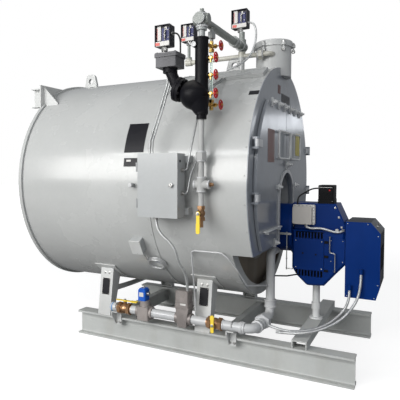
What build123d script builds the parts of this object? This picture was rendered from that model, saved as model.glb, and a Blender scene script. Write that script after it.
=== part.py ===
"""Packaged fire-tube boiler on a skid: insulated shell, front smokebox with two doors, water column,
gas train and gas burner.

Frame: X runs along the boiler and points to the burner, Y runs across it, Z points up.
The origin is on the floor, midway between the four anchor holes of the skid. Sizes are in millimetres.
"""
from build123d import *
from math import asin, cos, degrees, radians, sin, sqrt, tan
import os

# Skid: two I-beams, two ties and one channel across their tops
RAIL_LENGTH = 1988.0
RAIL_HEIGHT = 178.0
RAIL_WIDTH = 100.0
RAIL_WEB = 8.0
RAIL_FLANGE = 10.0
RAIL_ROOT_RADIUS = 8.0
RAIL_OFFSET = 483.0
ANCHOR_X = 900.0
ANCHOR_GAUGE = 28.0
ANCHOR_RADIUS = 9.0
TIE_X = (-751.0, 145.0)
TIE_HEIGHT = 100.0
TIE_WIDTH = 50.0
CHANNEL_X = 681.0
CHANNEL_WIDTH = 90.0
CHANNEL_HEIGHT = 51.0
CHANNEL_WALL = 7.0

# Shell: insulated jacket in two lengths with a seam band, a rear head and a front tubesheet
SHELL_RADIUS = 805.0
SHELL_AXIS_Z = 1174.0
JACKET_WALL = 8.0
SHELL_REAR_X = -1300.0
SEAM_X = -225.0
SEAM_WIDTH = 24.0
SEAM_HEIGHT = 4.0
SHELL_FRONT_X = 309.0
HEAD_RING_RADIUS = 820.0
HEAD_RING_LENGTH = 27.0
HEAD_THICKNESS = 14.0
REAR_DOOR_RADIUS = 690.0
REAR_DOOR_THICKNESS = 18.0
TUBESHEET_DEPTH = 70.0
TUBESHEET_THICKNESS = 14.0
TUBESHEET_RIM = 62.0
SEAT = 0.3

# Legs: folded plate, plumb along the shell and leaning in towards it
LEG_X = (-751.0, 46.0)
LEG_WIDTH = 110.0
LEG_PLATE = 8.0
LEG_FOOT_DEPTH = 53.0
LEG_TOP_OUTER_Y = 485.0
LEG_TOP_INNER_Y = 390.0
PAD_THICKNESS = 6.0
PAD_MARGIN = 34.0
BRACE_THICKNESS = 10.0
BRACE_HEIGHT = 37.0
BRACE_TOP_Z = 357.0
BRACE_RISE = 26.0

# Rear corner brackets with their channel stubs
CORNER_Y = 580.0
CORNER_Z = 1933.0
CORNER_THICKNESS = 10.0
STUB_CHANNEL_HEIGHT = 148.0
STUB_CHANNEL_FLANGE = 45.0
STUB_CHANNEL_WALL = 8.0
STUB_CHANNEL_LENGTH = 88.0
STUB_CHANNEL_Z = 1833.0
GUSSET_LENGTH = 138.0

# Lifting lugs on the top line of the shell
LUG_X = (-1250.0, 74.0)
LUG_WIDTH = 124.0
LUG_HEIGHT = 122.0
LUG_THICKNESS = 25.0
LUG_HOLE_RADIUS = 22.5
LUG_HOLE_DROP = 58.0

# Smokebox: a D-shaped wrapper with an arch for the burner, closed by a frame and two doors
SMOKEBOX_FRONT_X = 439.0
SMOKEBOX_BOTTOM_Z = 740.0
SMOKEBOX_WALL = 6.0
ARCH_RADIUS = 180.0
ARCH_CENTRE_Z = 1055.0
DOOR_RADIUS = 700.0
DOOR_BOTTOM_Z = 762.0
DOOR_TOP_Z = 1704.0
DOOR_LAP = 24.0
DOOR_DEPTH = 20.0
DOOR_PLATE = 6.0
DOOR_STANDOFF = 3.0
DOOR_GAP = 6.0
DOOR_ARCH_GAP = 10.0
ARCH_TRIM_WIDTH = 24.0
ARCH_TRIM_HEIGHT = 10.0
HINGE_Y = 716.0
HINGE_Z = (1097.0, 1423.0)
HINGE_PIN_RADIUS = 7.0
HINGE_KNUCKLE_RADIUS = 15.0
HINGE_KNUCKLE_HEIGHT = 44.0
HINGE_PLAY = 5.0
PIN_CLEARANCE = 0.08
HANDLE_BAR_RADIUS = 6.0
HANDLE_STANDOFF = 28.0
HANDLE_WIDTH = 290.0
HANDLE_HEIGHT = 182.0
HANDLE_CENTRE_Z = 1432.0
HANDLE_CORNER = 28.0
DOG_SIZE = 26.0
DOG_REACH = 58.0

# Flue stub with its bolted cap
STACK_X = 364.0
STACK_RADIUS = 122.5
STACK_WALL = 8.0
STACK_BOTTOM_Z = 1920.0
STACK_TOP_Z = 2130.0
CAP_RADIUS = 131.0
CAP_HEIGHT = 44.0
CAP_LIP = 12.0
CLAMP_OFFSET = 13.0

# Burner and its mounting
FURNACE_Z = 857.0
FURNACE_PLATE_RADIUS = 244.0
FURNACE_PLATE_THICKNESS = 22.0
BURNER_TUBE_RADIUS = 168.0
BURNER_X = 544.0
BURNER_HALF_DEPTH = 150.0
BURNER_PANEL_BOTTOM_Z = 593.0
BURNER_PANEL_TOP_Z = 801.0
BURNER_PANEL_RIGHT_X = 752.0
BURNER_FIN_COUNT = 9
BURNER_FIN_DEPTH = 22.0
BURNER_FIN_WIDTH = 7.0
HOOD_BOTTOM_Z = 858.0
HOOD_TOP_Z = 1038.0
HOOD_HALF_DEPTH = 112.0
BURNER_RIGHT_X = 882.0
CONTROL_BOX_DEPTH = 52.0
CABINET_B_X = 886.0
CABINET_B_WIDTH = 206.0
CABINET_B_BOTTOM_Z = 440.0
CABINET_B_TOP_Z = 931.0
CABINET_B_NEAR_Y = -160.0
CABINET_B_FAR_Y = 190.0
PEDESTAL_RADIUS = 24.15
PEDESTAL_COUPLING_RADIUS = 31.0

# Gas train: 2 inch pipe along the near side of the legs, then across and up to the burner tube
GAS_RADIUS = 30.15
GAS_WALL = 3.9
GAS_Y = -570.0
GAS_Z = 265.0
GAS_INLET_X = -654.0
GAS_RISER_X = 413.0
GAS_RISER_Y = -200.0
GAS_RISER_TOP_Z = 700.0
GAS_ELBOW_RADIUS = 62.0
COCK_X = (-540.0, 156.0)
SOLENOID_X = -372.0
ACTUATOR_X = -68.0
GAS_BRACKET_X = (-618.0, 262.0)
GAS_BRACKET_WIDTH = 52.0

# Water column on the near side, its top pipe and the drain line below it
COLUMN_X = 178.0
COLUMN_Y = -860.0
COLUMN_BOTTOM_Z = 1560.0
COLUMN_TOP_Z = 2033.0
COLUMN_RADIUS = 39.0
BOWL_RADIUS = 88.0
BOWL_Z = 1705.0
BOWL_X = 132.0
TOP_PIPE_Z = 2136.0
TOP_PIPE_RADIUS = 24.15
DRAIN_RADIUS = 16.7
DRAIN_CROSS_Z = 1178.0
DRAIN_VALVE_Z = 1008.0
DRAIN_END_Z = 925.0
HEADER_Y = -150.0
HEADER_Z = 2068.0
HEADER_RADIUS = 16.7
HEADER_LEFT_X = -234.0
NOZZLE_X = 190.0
GAUGE_X = 192.0
GAUGE_Y = -745.0
GAUGE_TOP_Z = 2004.0
GAUGE_BOTTOM_Z = 1654.0
TRY_COCK_Z = (1911.0, 1812.0, 1706.0)
STEM_RADIUS = 4.0
WHEEL_RADIUS = 31.0
WHEEL_RIM_RADIUS = 4.2
WHEEL_STEM_REACH = 88.0

# Pressure controls
CONTROL_WIDTH = 114.0
CONTROL_HEIGHT = 128.0
CONTROL_DEPTH = 69.0

# Control cabinet on the near side
CABINET_LEFT_X = -204.0
CABINET_RIGHT_X = 64.0
CABINET_BOTTOM_Z = 979.0
CABINET_TOP_Z = 1362.0
CABINET_FRONT_Y = -944.0
CABINET_DEPTH = 98.0
CABINET_WALL = 3.0
CABINET_DOOR_THICKNESS = 6.0
CABINET_DOOR_LAP = 2.0
CABINET_HINGE_OFFSET = 9.0
CABINET_HINGE_Z = (1060.0, 1280.0)
CABINET_KNUCKLE = 34.0
CABINET_PIN_RADIUS = 3.0
CABINET_KNUCKLE_RADIUS = 6.0
LATCH_OFFSET = 37.0
LATCH_Z = 1173.0
CABINET_RAIL_WIDTH = 42.0


def box(x0, x1, y0, y1, z0, z1):
    """A block given by its limits along X, Y and Z."""
    centre = Pos((x0 + x1) / 2, (y0 + y1) / 2, (z0 + z1) / 2)
    return centre * Box(abs(x1 - x0), abs(y1 - y0), abs(z1 - z0))


def rod(start, end, radius):
    """A round bar from one point to another."""
    a = Vector(*start)
    b = Vector(*end)
    plane = Plane(origin=a, z_dir=b - a)
    return plane * Cylinder(radius, (b - a).length, align=(Align.CENTER, Align.CENTER, Align.MIN))


def hex_bar(start, end, flats):
    """A six-sided bar, as on a union nut."""
    a = Vector(*start)
    b = Vector(*end)
    plane = Plane(origin=a, z_dir=b - a)
    return extrude(plane * RegularPolygon(flats / 2, 6, major_radius=False), (b - a).length)


def tube_along(points, radii, radius):
    """A round tube whose path is straight runs joined by arcs."""
    path = FilletPolyline(*points, radius=radii)
    section = Plane(origin=path @ 0, z_dir=path % 0) * Circle(radius)
    return sweep(section, path=path)


def corner_radii(points, share=0.45):
    """The arc radius at each inner point: a share of the shorter run over the tangent of half the turn."""
    found = []
    for before, here, after in zip(points, points[1:], points[2:]):
        run_in = Vector(*here) - Vector(*before)
        run_out = Vector(*after) - Vector(*here)
        half_turn = radians(run_in.get_angle(run_out) / 2)
        found.append(share * min(run_in.length, run_out.length) / tan(half_turn))
    return found


def free_cord(name, points, radius):
    """A cord that hangs or lies free; prints its arc radii and checks its volume against its length."""
    radii = corner_radii(points)
    path = FilletPolyline(*points, radius=radii)
    solid = tube_along(points, radii, radius)
    expected = 3.14159265 * radius ** 2 * path.length
    print(name, "length", round(path.length), "radii", [round(r) for r in radii],
          "volume share", round(solid.volume / expected, 4))
    return solid


def across(face_sketch, x0, x1):
    """Extrude a sketch drawn in Y and Z from one X to another."""
    plane = Plane(origin=(x0, 0, 0), x_dir=(0, 1, 0), z_dir=(1, 0, 0))
    return extrude(plane * face_sketch, x1 - x0, dir=(1, 0, 0))


def along_y(face_sketch, y0, y1):
    """Extrude a sketch drawn in X and Z from one Y to a greater one."""
    plane = Plane(origin=(0, y1, 0), x_dir=(1, 0, 0), z_dir=(0, -1, 0))
    return extrude(plane * face_sketch, y1 - y0, dir=(0, -1, 0))


def shell_cylinder(radius, x0, x1):
    """A cylinder about the boiler's axis."""
    return rod((x0, 0, SHELL_AXIS_Z), (x1, 0, SHELL_AXIS_Z), radius)


def shell_tube(outer, inner, x0, x1):
    """A hollow cylinder about the boiler's axis."""
    return shell_cylinder(outer, x0, x1) - shell_cylinder(inner, x0 - 1, x1 + 1)


def shell_height(y, radius=SHELL_RADIUS):
    """Height of the upper shell surface above the axis at a distance from the middle."""
    return sqrt(radius ** 2 - y ** 2)


def mirrored(shape):
    """The same piece on the far side."""
    return mirror(shape, about=Plane.XZ)


def solids(*shapes):
    """Several pieces that do not touch, kept in one node."""
    found = []
    for shape in shapes:
        found.extend(shape.solids())
    return Compound(children=found)


# Skid
def rail(side):
    """One I-beam with two anchor holes in the outer half of its bottom flange."""
    pocket = Rectangle((RAIL_WIDTH - RAIL_WEB) / 2 + 1, RAIL_HEIGHT - 2 * RAIL_FLANGE)
    pocket = fillet(pocket.vertices(), RAIL_ROOT_RADIUS)
    shift = RAIL_WEB / 2 + ((RAIL_WIDTH - RAIL_WEB) / 2 + 1) / 2
    profile = Rectangle(RAIL_WIDTH, RAIL_HEIGHT)
    profile -= Pos(shift, 0) * pocket
    profile -= Pos(-shift, 0) * pocket
    profile = Pos(side * RAIL_OFFSET, RAIL_HEIGHT / 2) * profile
    beam = across(profile, -RAIL_LENGTH / 2, RAIL_LENGTH / 2)
    hole_y = side * (RAIL_OFFSET + ANCHOR_GAUGE)
    for x in (-ANCHOR_X, ANCHOR_X):
        beam -= rod((x, hole_y, -1), (x, hole_y, RAIL_FLANGE + 20), ANCHOR_RADIUS)
    return beam


def gas_bracket(x):
    """A folded bracket that stands the gas pipe off the near rail."""
    tip_y = -(RAIL_OFFSET + RAIL_WIDTH / 2)
    bottom_z = RAIL_HEIGHT - 52
    top_z = GAS_Z - GAS_RADIUS - SEAT
    left = x - GAS_BRACKET_WIDTH / 2
    right = x + GAS_BRACKET_WIDTH / 2
    outer_y = GAS_Y - 26
    face = box(left, right, tip_y - 7 - SEAT, tip_y - SEAT, bottom_z, top_z)
    web = Polygon((tip_y - 7, bottom_z), (tip_y - 7, top_z), (outer_y, top_z), (outer_y, top_z - 26), align=None)
    shelf = box(left, right, outer_y, tip_y - SEAT, top_z - 6, top_z)
    return face + across(web, left, left + 7) + shelf


near_rail = rail(-1)
far_rail = rail(1)
rail_inner = RAIL_OFFSET - RAIL_WEB / 2 - SEAT
tie_top = RAIL_HEIGHT - RAIL_FLANGE - RAIL_ROOT_RADIUS
ties = []
for x in TIE_X:
    tie = box(x - TIE_WIDTH / 2, x + TIE_WIDTH / 2, -rail_inner, rail_inner, tie_top - TIE_HEIGHT, tie_top)
    hollow = box(x - TIE_WIDTH / 2 - 1, x + TIE_WIDTH / 2 - 6, -rail_inner - 1, rail_inner + 1,
                 tie_top - TIE_HEIGHT + 7, tie_top - 7)
    ties.append(tie - hollow)
channel_end = RAIL_OFFSET + RAIL_WIDTH / 2
cross_channel = box(CHANNEL_X - CHANNEL_WIDTH / 2, CHANNEL_X + CHANNEL_WIDTH / 2, -channel_end, channel_end,
                    RAIL_HEIGHT, RAIL_HEIGHT + CHANNEL_HEIGHT)
cross_channel -= box(CHANNEL_X - CHANNEL_WIDTH / 2 + CHANNEL_WALL, CHANNEL_X + CHANNEL_WIDTH / 2 - CHANNEL_WALL,
                     -channel_end - 1, channel_end + 1, RAIL_HEIGHT - 1,
                     RAIL_HEIGHT + CHANNEL_HEIGHT - CHANNEL_WALL)


# Shell
rear_jacket = shell_tube(SHELL_RADIUS, SHELL_RADIUS - JACKET_WALL, SHELL_REAR_X, SEAM_X)
front_jacket = shell_tube(SHELL_RADIUS, SHELL_RADIUS - JACKET_WALL, SEAM_X, SHELL_FRONT_X)
seam_band = shell_tube(SHELL_RADIUS + SEAM_HEIGHT, SHELL_RADIUS - 1, SEAM_X - SEAM_WIDTH / 2, SEAM_X)
seam_band += shell_tube(SHELL_RADIUS + SEAM_HEIGHT, SHELL_RADIUS + SEAT, SEAM_X - 1, SEAM_X + SEAM_WIDTH / 2)
bore_radius = SHELL_RADIUS - JACKET_WALL - SEAT
head_back_x = SHELL_REAR_X - HEAD_RING_LENGTH
rear_head = shell_tube(HEAD_RING_RADIUS, SHELL_RADIUS - JACKET_WALL, head_back_x, SHELL_REAR_X)
rear_head += shell_cylinder(SHELL_RADIUS - JACKET_WALL + 1, head_back_x + 6, head_back_x + 6 + HEAD_THICKNESS)
rear_door = shell_cylinder(REAR_DOOR_RADIUS, head_back_x + 6 - REAR_DOOR_THICKNESS, head_back_x + 6)
rear_door += shell_cylinder(REAR_DOOR_RADIUS - 80, head_back_x - REAR_DOOR_THICKNESS - 2, head_back_x)

tubesheet_x = SHELL_FRONT_X - TUBESHEET_DEPTH
tubesheet = shell_cylinder(bore_radius, tubesheet_x - TUBESHEET_THICKNESS, tubesheet_x)
tubesheet += shell_tube(bore_radius, bore_radius - 8, tubesheet_x - 1, SHELL_FRONT_X)
tubesheet += shell_tube(bore_radius, bore_radius - TUBESHEET_RIM, SHELL_FRONT_X - 8, SHELL_FRONT_X)
tubesheet -= rod((tubesheet_x - 40, 0, FURNACE_Z), (tubesheet_x + 40, 0, FURNACE_Z), BURNER_TUBE_RADIUS + 4)
furnace_plate = rod((tubesheet_x, 0, FURNACE_Z), (tubesheet_x + FURNACE_PLATE_THICKNESS, 0, FURNACE_Z),
                    FURNACE_PLATE_RADIUS)
furnace_plate -= rod((tubesheet_x - 1, 0, FURNACE_Z), (tubesheet_x + 100, 0, FURNACE_Z), BURNER_TUBE_RADIUS + 1)


# Legs
foot_outer = RAIL_OFFSET + RAIL_WIDTH / 2
foot_inner = foot_outer - LEG_FOOT_DEPTH
outer_top = SHELL_AXIS_Z - shell_height(LEG_TOP_OUTER_Y)
inner_top = SHELL_AXIS_Z - shell_height(LEG_TOP_INNER_Y)
lean = (foot_outer - LEG_TOP_OUTER_Y) / (outer_top - RAIL_HEIGHT)


def leg_inside(play):
    """The space inside a far leg's outer plate, from the middle of the boiler out to the plate."""
    floor_z = RAIL_HEIGHT + LEG_PLATE
    above = outer_top + 61
    face = foot_outer - LEG_PLATE - play
    return Polygon((face, floor_z), (face - lean * (above - floor_z), above), (0, above), (0, floor_z),
                   align=None)


def leg(x, side):
    """A leg with its curved pad against the shell and a base plate on the rail."""
    inner_lean = (foot_inner - LEG_TOP_INNER_Y) / (inner_top - RAIL_HEIGHT)
    above = outer_top + 60
    outline = Polygon((foot_outer, RAIL_HEIGHT), (foot_outer - lean * (above - RAIL_HEIGHT), above),
                      (foot_inner - inner_lean * (above - RAIL_HEIGHT), above), (foot_inner, RAIL_HEIGHT),
                      align=None)
    body = across(outline, x - LEG_WIDTH / 2, x + LEG_WIDTH / 2)
    body -= across(leg_inside(0), x - LEG_WIDTH / 2 + LEG_PLATE, x + LEG_WIDTH / 2 - LEG_PLATE)
    body -= shell_cylinder(SHELL_RADIUS + SEAT + PAD_THICKNESS / 2, x - LEG_WIDTH, x + LEG_WIDTH)
    low = asin((LEG_TOP_INNER_Y - PAD_MARGIN) / SHELL_RADIUS)
    high = asin((LEG_TOP_OUTER_Y + PAD_MARGIN) / SHELL_RADIUS)
    reach = SHELL_RADIUS * 1.2
    wedge = Polygon((0, SHELL_AXIS_Z), (reach * sin(low), SHELL_AXIS_Z - reach * cos(low)),
                    (reach * sin(high), SHELL_AXIS_Z - reach * cos(high)), align=None)
    pad = shell_tube(SHELL_RADIUS + SEAT + PAD_THICKNESS, SHELL_RADIUS + SEAT,
                     x - LEG_WIDTH / 2 - PAD_MARGIN, x + LEG_WIDTH / 2 + PAD_MARGIN)
    pad &= across(wedge, x - LEG_WIDTH, x + LEG_WIDTH)
    whole = body + pad
    return whole if side > 0 else mirrored(whole)


near_legs = [leg(x, -1) for x in LEG_X]
far_legs = [leg(x, 1) for x in LEG_X]

brace_span = foot_outer
brace_end_z = BRACE_TOP_Z + BRACE_RISE
brace_low_z = brace_end_z - BRACE_HEIGHT - 8
brace_top = ThreePointArc((-brace_span, brace_end_z), (0, BRACE_TOP_Z), (brace_span, brace_end_z))
brace_low = ThreePointArc((brace_span, brace_low_z), (0, BRACE_TOP_Z - BRACE_HEIGHT), (-brace_span, brace_low_z))
brace_edge = Wire([brace_top, Line(brace_top @ 1, brace_low @ 0), brace_low, Line(brace_low @ 1, brace_top @ 0)])
brace_reach = leg_inside(SEAT) + mirror(leg_inside(SEAT), about=Plane.YZ)
rear_brace = across(make_face(brace_edge) & brace_reach, LEG_X[0] - BRACE_THICKNESS / 2,
                    LEG_X[0] + BRACE_THICKNESS / 2)


# Rear corner brackets
def rear_bracket(side):
    """A squared corner plate with a channel stub behind it and a gusset in front of it."""
    left_z = SHELL_AXIS_Z + shell_height(CORNER_Y, HEAD_RING_RADIUS)
    plate = across(Polygon((CORNER_Y, CORNER_Z), (CORNER_Y, left_z - 20), (300, left_z - 20), (300, CORNER_Z),
                           align=None), head_back_x, head_back_x + CORNER_THICKNESS)
    plate -= shell_cylinder(HEAD_RING_RADIUS + SEAT, head_back_x - 1, head_back_x + CORNER_THICKNESS + 1)
    web_y = CORNER_Y - STUB_CHANNEL_FLANGE
    low = STUB_CHANNEL_Z - STUB_CHANNEL_HEIGHT / 2
    high = STUB_CHANNEL_Z + STUB_CHANNEL_HEIGHT / 2
    stub = box(head_back_x - STUB_CHANNEL_LENGTH, head_back_x - SEAT, web_y, CORNER_Y, low, high)
    stub -= box(head_back_x - STUB_CHANNEL_LENGTH - 1, head_back_x + 1, web_y + STUB_CHANNEL_WALL, CORNER_Y + 1,
                low + STUB_CHANNEL_WALL, high - STUB_CHANNEL_WALL)
    weld = box(head_back_x - 2, head_back_x + 2, web_y + 2, CORNER_Y - 2, SHELL_AXIS_Z + 660, high - 1)
    weld &= box(head_back_x - 2, head_back_x + 2, web_y, web_y + STUB_CHANNEL_WALL, low, high)
    gusset_y = web_y
    seat_z = SHELL_AXIS_Z + shell_height(gusset_y) + 8
    front_x = head_back_x + CORNER_THICKNESS
    gusset = along_y(Polygon((front_x - 1, CORNER_Z - 10), (front_x - 1, seat_z - 60),
                             (front_x + GUSSET_LENGTH, seat_z - 60), (front_x + GUSSET_LENGTH, seat_z + 2),
                             align=None), gusset_y - 5, gusset_y + 5)
    gusset -= shell_cylinder(HEAD_RING_RADIUS + SEAT, head_back_x - 5, SHELL_REAR_X + SEAT)
    gusset -= shell_cylinder(SHELL_RADIUS + SEAT, SHELL_REAR_X, SHELL_REAR_X + 400)
    whole = plate + stub + weld + gusset
    return whole if side > 0 else mirrored(whole)


rear_brackets = [rear_bracket(-1), rear_bracket(1)]


def lifting_lug(x):
    """A plate with a rounded top and a lifting hole, standing on the top line of the shell."""
    top = SHELL_AXIS_Z + SHELL_RADIUS + LUG_HEIGHT
    base = SHELL_AXIS_Z + SHELL_RADIUS - 10
    outline = Polygon((x - LUG_WIDTH / 2, base), (x + LUG_WIDTH / 2, base), (x + LUG_WIDTH / 2, base + 48),
                      (x + LUG_WIDTH / 2 - 22, top), (x - LUG_WIDTH / 2 + 22, top), (x - LUG_WIDTH / 2, base + 48),
                      align=None)
    plate = along_y(outline, -LUG_THICKNESS / 2, LUG_THICKNESS / 2)
    plate = fillet(plate.edges().filter_by(Axis.Y).group_by(Axis.Z)[-1], 30)
    plate -= rod((x, -LUG_THICKNESS, top - LUG_HOLE_DROP), (x, LUG_THICKNESS, top - LUG_HOLE_DROP),
                 LUG_HOLE_RADIUS)
    plate -= shell_cylinder(HEAD_RING_RADIUS + SEAT, SHELL_REAR_X - HEAD_RING_LENGTH, SHELL_REAR_X + SEAT)
    return plate - shell_cylinder(SHELL_RADIUS + SEAT, x - LUG_WIDTH, x + LUG_WIDTH)


# Smokebox
def arch(half):
    """The burner arch as a sketch in Y and Z, open below the smokebox."""
    below = SMOKEBOX_BOTTOM_Z - 40
    post = Pos(0, (below + ARCH_CENTRE_Z) / 2) * Rectangle(2 * half, ARCH_CENTRE_Z - below)
    return Pos(0, ARCH_CENTRE_Z) * Circle(half) + post


def d_shape(radius, bottom, top, notch):
    """A circle about the boiler's axis, cut flat below and above, with the arch taken out."""
    outline = Pos(0, SHELL_AXIS_Z) * Circle(radius)
    height = top - bottom
    outline &= Pos(0, (top + bottom) / 2) * Rectangle(4 * radius, height)
    return outline - arch(notch)


top_limit = SHELL_AXIS_Z + SHELL_RADIUS + 5
frame_back_x = SMOKEBOX_FRONT_X - SMOKEBOX_WALL
wrap_outer = d_shape(SHELL_RADIUS, SMOKEBOX_BOTTOM_Z, top_limit, ARCH_RADIUS)
wrap_inner = d_shape(SHELL_RADIUS - SMOKEBOX_WALL, SMOKEBOX_BOTTOM_Z + SMOKEBOX_WALL, top_limit,
                     ARCH_RADIUS + SMOKEBOX_WALL)
smokebox_wrap = across(wrap_outer - wrap_inner, SHELL_FRONT_X, frame_back_x)
door_opening = d_shape(DOOR_RADIUS - DOOR_LAP, DOOR_BOTTOM_Z + DOOR_LAP, DOOR_TOP_Z - DOOR_LAP,
                       ARCH_RADIUS + DOOR_ARCH_GAP + DOOR_LAP)
smokebox_frame = across(wrap_outer - door_opening, frame_back_x, SMOKEBOX_FRONT_X)

door_back_x = SMOKEBOX_FRONT_X + DOOR_STANDOFF
door_face_x = door_back_x + DOOR_DEPTH
hinge_x = door_face_x + HINGE_PLAY
knuckle_gap = 1.0


def hinge_lugs(side):
    """The fixed halves of one door's two hinges: a lug above and below each knuckle, and the pin."""
    found = None
    for z in HINGE_Z:
        half = HINGE_KNUCKLE_HEIGHT / 2
        reach = half + knuckle_gap + 12
        pin = rod((hinge_x, side * HINGE_Y, z - reach), (hinge_x, side * HINGE_Y, z + reach), HINGE_PIN_RADIUS)
        found = pin if found is None else found + pin
        for low in (z - reach, z + half + knuckle_gap):
            eye = rod((hinge_x, side * HINGE_Y, low), (hinge_x, side * HINGE_Y, low + 12), HINGE_KNUCKLE_RADIUS)
            root = box(SMOKEBOX_FRONT_X - 1, hinge_x, side * HINGE_Y - 10, side * HINGE_Y + 10, low, low + 12)
            found += eye + root
    return found


smokebox_frame += hinge_lugs(-1)
smokebox_frame += hinge_lugs(1)


def handle_frame(side):
    """A rounded rectangle of round bar that stands off the door on four short legs."""
    inner_y = side * 16.0
    outer_y = side * (16.0 + HANDLE_WIDTH)
    x = door_face_x + HANDLE_STANDOFF
    z0 = HANDLE_CENTRE_Z - HANDLE_HEIGHT / 2
    z1 = HANDLE_CENTRE_Z + HANDLE_HEIGHT / 2
    plane = Plane(origin=(x, (inner_y + outer_y) / 2, HANDLE_CENTRE_Z), x_dir=(0, 1, 0), z_dir=(1, 0, 0))
    path = (plane * RectangleRounded(HANDLE_WIDTH, HANDLE_HEIGHT, HANDLE_CORNER)).wire()
    loop = sweep(Plane(origin=path @ 0, z_dir=path % 0) * Circle(HANDLE_BAR_RADIUS), path=path)
    for y in (inner_y + side * 60, outer_y - side * 60):
        for z in (z0, z1):
            loop += rod((door_face_x + SEAT, y, z), (x, y, z), HANDLE_BAR_RADIUS - 1)
    return loop


def dog(y, z, turn):
    """A clamp bar on the door's rim that reaches over the fixed frame, with its stud."""
    base = box(door_face_x - 1, door_face_x + 12, -DOG_SIZE / 2, DOG_SIZE / 2, -DOG_REACH / 2, DOG_REACH / 2)
    stud = rod((door_face_x, 0, 0), (door_face_x + 34, 0, 0), 7)
    nut = hex_bar((door_face_x + 12, 0, 0), (door_face_x + 24, 0, 0), 24)
    return Pos(0, y, z) * Rot(turn, 0, 0) * (base + stud + nut)


def front_door(side):
    """One half door: a shallow pan with a turned edge, an arch trim, a handle and its hinge knuckles."""
    outline = d_shape(DOOR_RADIUS, DOOR_BOTTOM_Z, DOOR_TOP_Z, ARCH_RADIUS + DOOR_ARCH_GAP)
    outline &= Pos(side * (DOOR_GAP / 2 + 500), SHELL_AXIS_Z) * Rectangle(1000, 4 * DOOR_RADIUS)
    pan = across(outline, door_back_x, door_face_x)
    inner = d_shape(DOOR_RADIUS - DOOR_PLATE, DOOR_BOTTOM_Z + DOOR_PLATE, DOOR_TOP_Z - DOOR_PLATE,
                    ARCH_RADIUS + DOOR_ARCH_GAP + DOOR_PLATE)
    inner &= Pos(side * (DOOR_GAP / 2 + DOOR_PLATE + 500), SHELL_AXIS_Z) * Rectangle(1000, 4 * DOOR_RADIUS)
    pan -= across(inner, door_back_x - 1, door_face_x - DOOR_PLATE)
    trim = arch(ARCH_RADIUS + DOOR_ARCH_GAP + ARCH_TRIM_WIDTH) - arch(ARCH_RADIUS + DOOR_ARCH_GAP)
    pan += across(trim & outline, door_face_x - 1, door_face_x + ARCH_TRIM_HEIGHT)
    for z in HINGE_Z:
        half = HINGE_KNUCKLE_HEIGHT / 2
        knuckle = rod((hinge_x, side * HINGE_Y, z - half), (hinge_x, side * HINGE_Y, z + half),
                      HINGE_KNUCKLE_RADIUS)
        edge_y = shell_height(z - SHELL_AXIS_Z, DOOR_RADIUS) - 40
        strap = box(door_face_x - 1, door_face_x + 11, side * edge_y, side * HINGE_Y, z - half, z + half)
        pan += knuckle + strap
        pan -= rod((hinge_x, side * HINGE_Y, z - half - 1), (hinge_x, side * HINGE_Y, z + half + 1),
                   HINGE_PIN_RADIUS + PIN_CLEARANCE)
    seam_z = DOOR_TOP_Z - 6
    for y in (80.0, 235.0, 390.0):
        pan += dog(side * y, seam_z, 0)
    pan += dog(side * (ARCH_RADIUS + 62), 1150, 90)
    pan += dog(side * 26, 1302, 0)
    pan += dog(side * 300, DOOR_BOTTOM_Z + 20, 0)
    return pan


near_front_door = front_door(-1)
far_front_door = front_door(1)

# Flue stub
stack_stub = rod((STACK_X, 0, STACK_BOTTOM_Z), (STACK_X, 0, STACK_TOP_Z), STACK_RADIUS)
stack_stub -= rod((STACK_X, 0, STACK_BOTTOM_Z + STACK_WALL), (STACK_X, 0, STACK_TOP_Z + 1),
                  STACK_RADIUS - STACK_WALL)
stack_stub -= shell_cylinder(SHELL_RADIUS + SEAT, SHELL_REAR_X, SMOKEBOX_FRONT_X + SEAT)
stack_cap = rod((STACK_X, 0, STACK_TOP_Z), (STACK_X, 0, STACK_TOP_Z + CAP_HEIGHT), CAP_RADIUS)
stack_cap = fillet(stack_cap.edges().group_by(Axis.Z)[-1], CAP_LIP)
for turn in range(15, 375, 60):
    reach = STACK_RADIUS + CLAMP_OFFSET
    clamp_x = STACK_X + reach * cos(radians(turn))
    clamp_y = reach * sin(radians(turn))
    stack_cap += rod((clamp_x, clamp_y, STACK_TOP_Z), (clamp_x, clamp_y, STACK_TOP_Z + 18), 14)
    stack_cap += rod((clamp_x, clamp_y, STACK_TOP_Z - 28), (clamp_x, clamp_y, STACK_TOP_Z + 34), 6)
    stack_cap += rod((clamp_x, clamp_y, STACK_TOP_Z - 28), (clamp_x, clamp_y, STACK_TOP_Z - 16), 11)

# Wireway along the near shoulder of the shell
WIREWAY_X = (-15.0, 417.0)
WIREWAY_WIDTH = 124.0
WIREWAY_HEIGHT = 24.0
WIREWAY_ANGLE = 27.4
wireway = box(WIREWAY_X[0], WIREWAY_X[1], -WIREWAY_WIDTH / 2, WIREWAY_WIDTH / 2, SHELL_RADIUS - 8,
              SHELL_RADIUS + WIREWAY_HEIGHT)
wireway = Pos(0, 0, SHELL_AXIS_Z) * Rot(WIREWAY_ANGLE, 0, 0) * wireway
wireway -= shell_cylinder(SHELL_RADIUS + SEAT, WIREWAY_X[0] - 10, WIREWAY_X[1] + 10)


# Burner
pedestal_top = 484.0
burner_tube = rod((tubesheet_x - TUBESHEET_THICKNESS, 0, FURNACE_Z), (BURNER_X - SEAT, 0, FURNACE_Z),
                  BURNER_TUBE_RADIUS)
burner_tube += rod((BURNER_X - 18, 0, FURNACE_Z), (BURNER_X - SEAT, 0, FURNACE_Z), BURNER_TUBE_RADIUS + 14)

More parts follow.
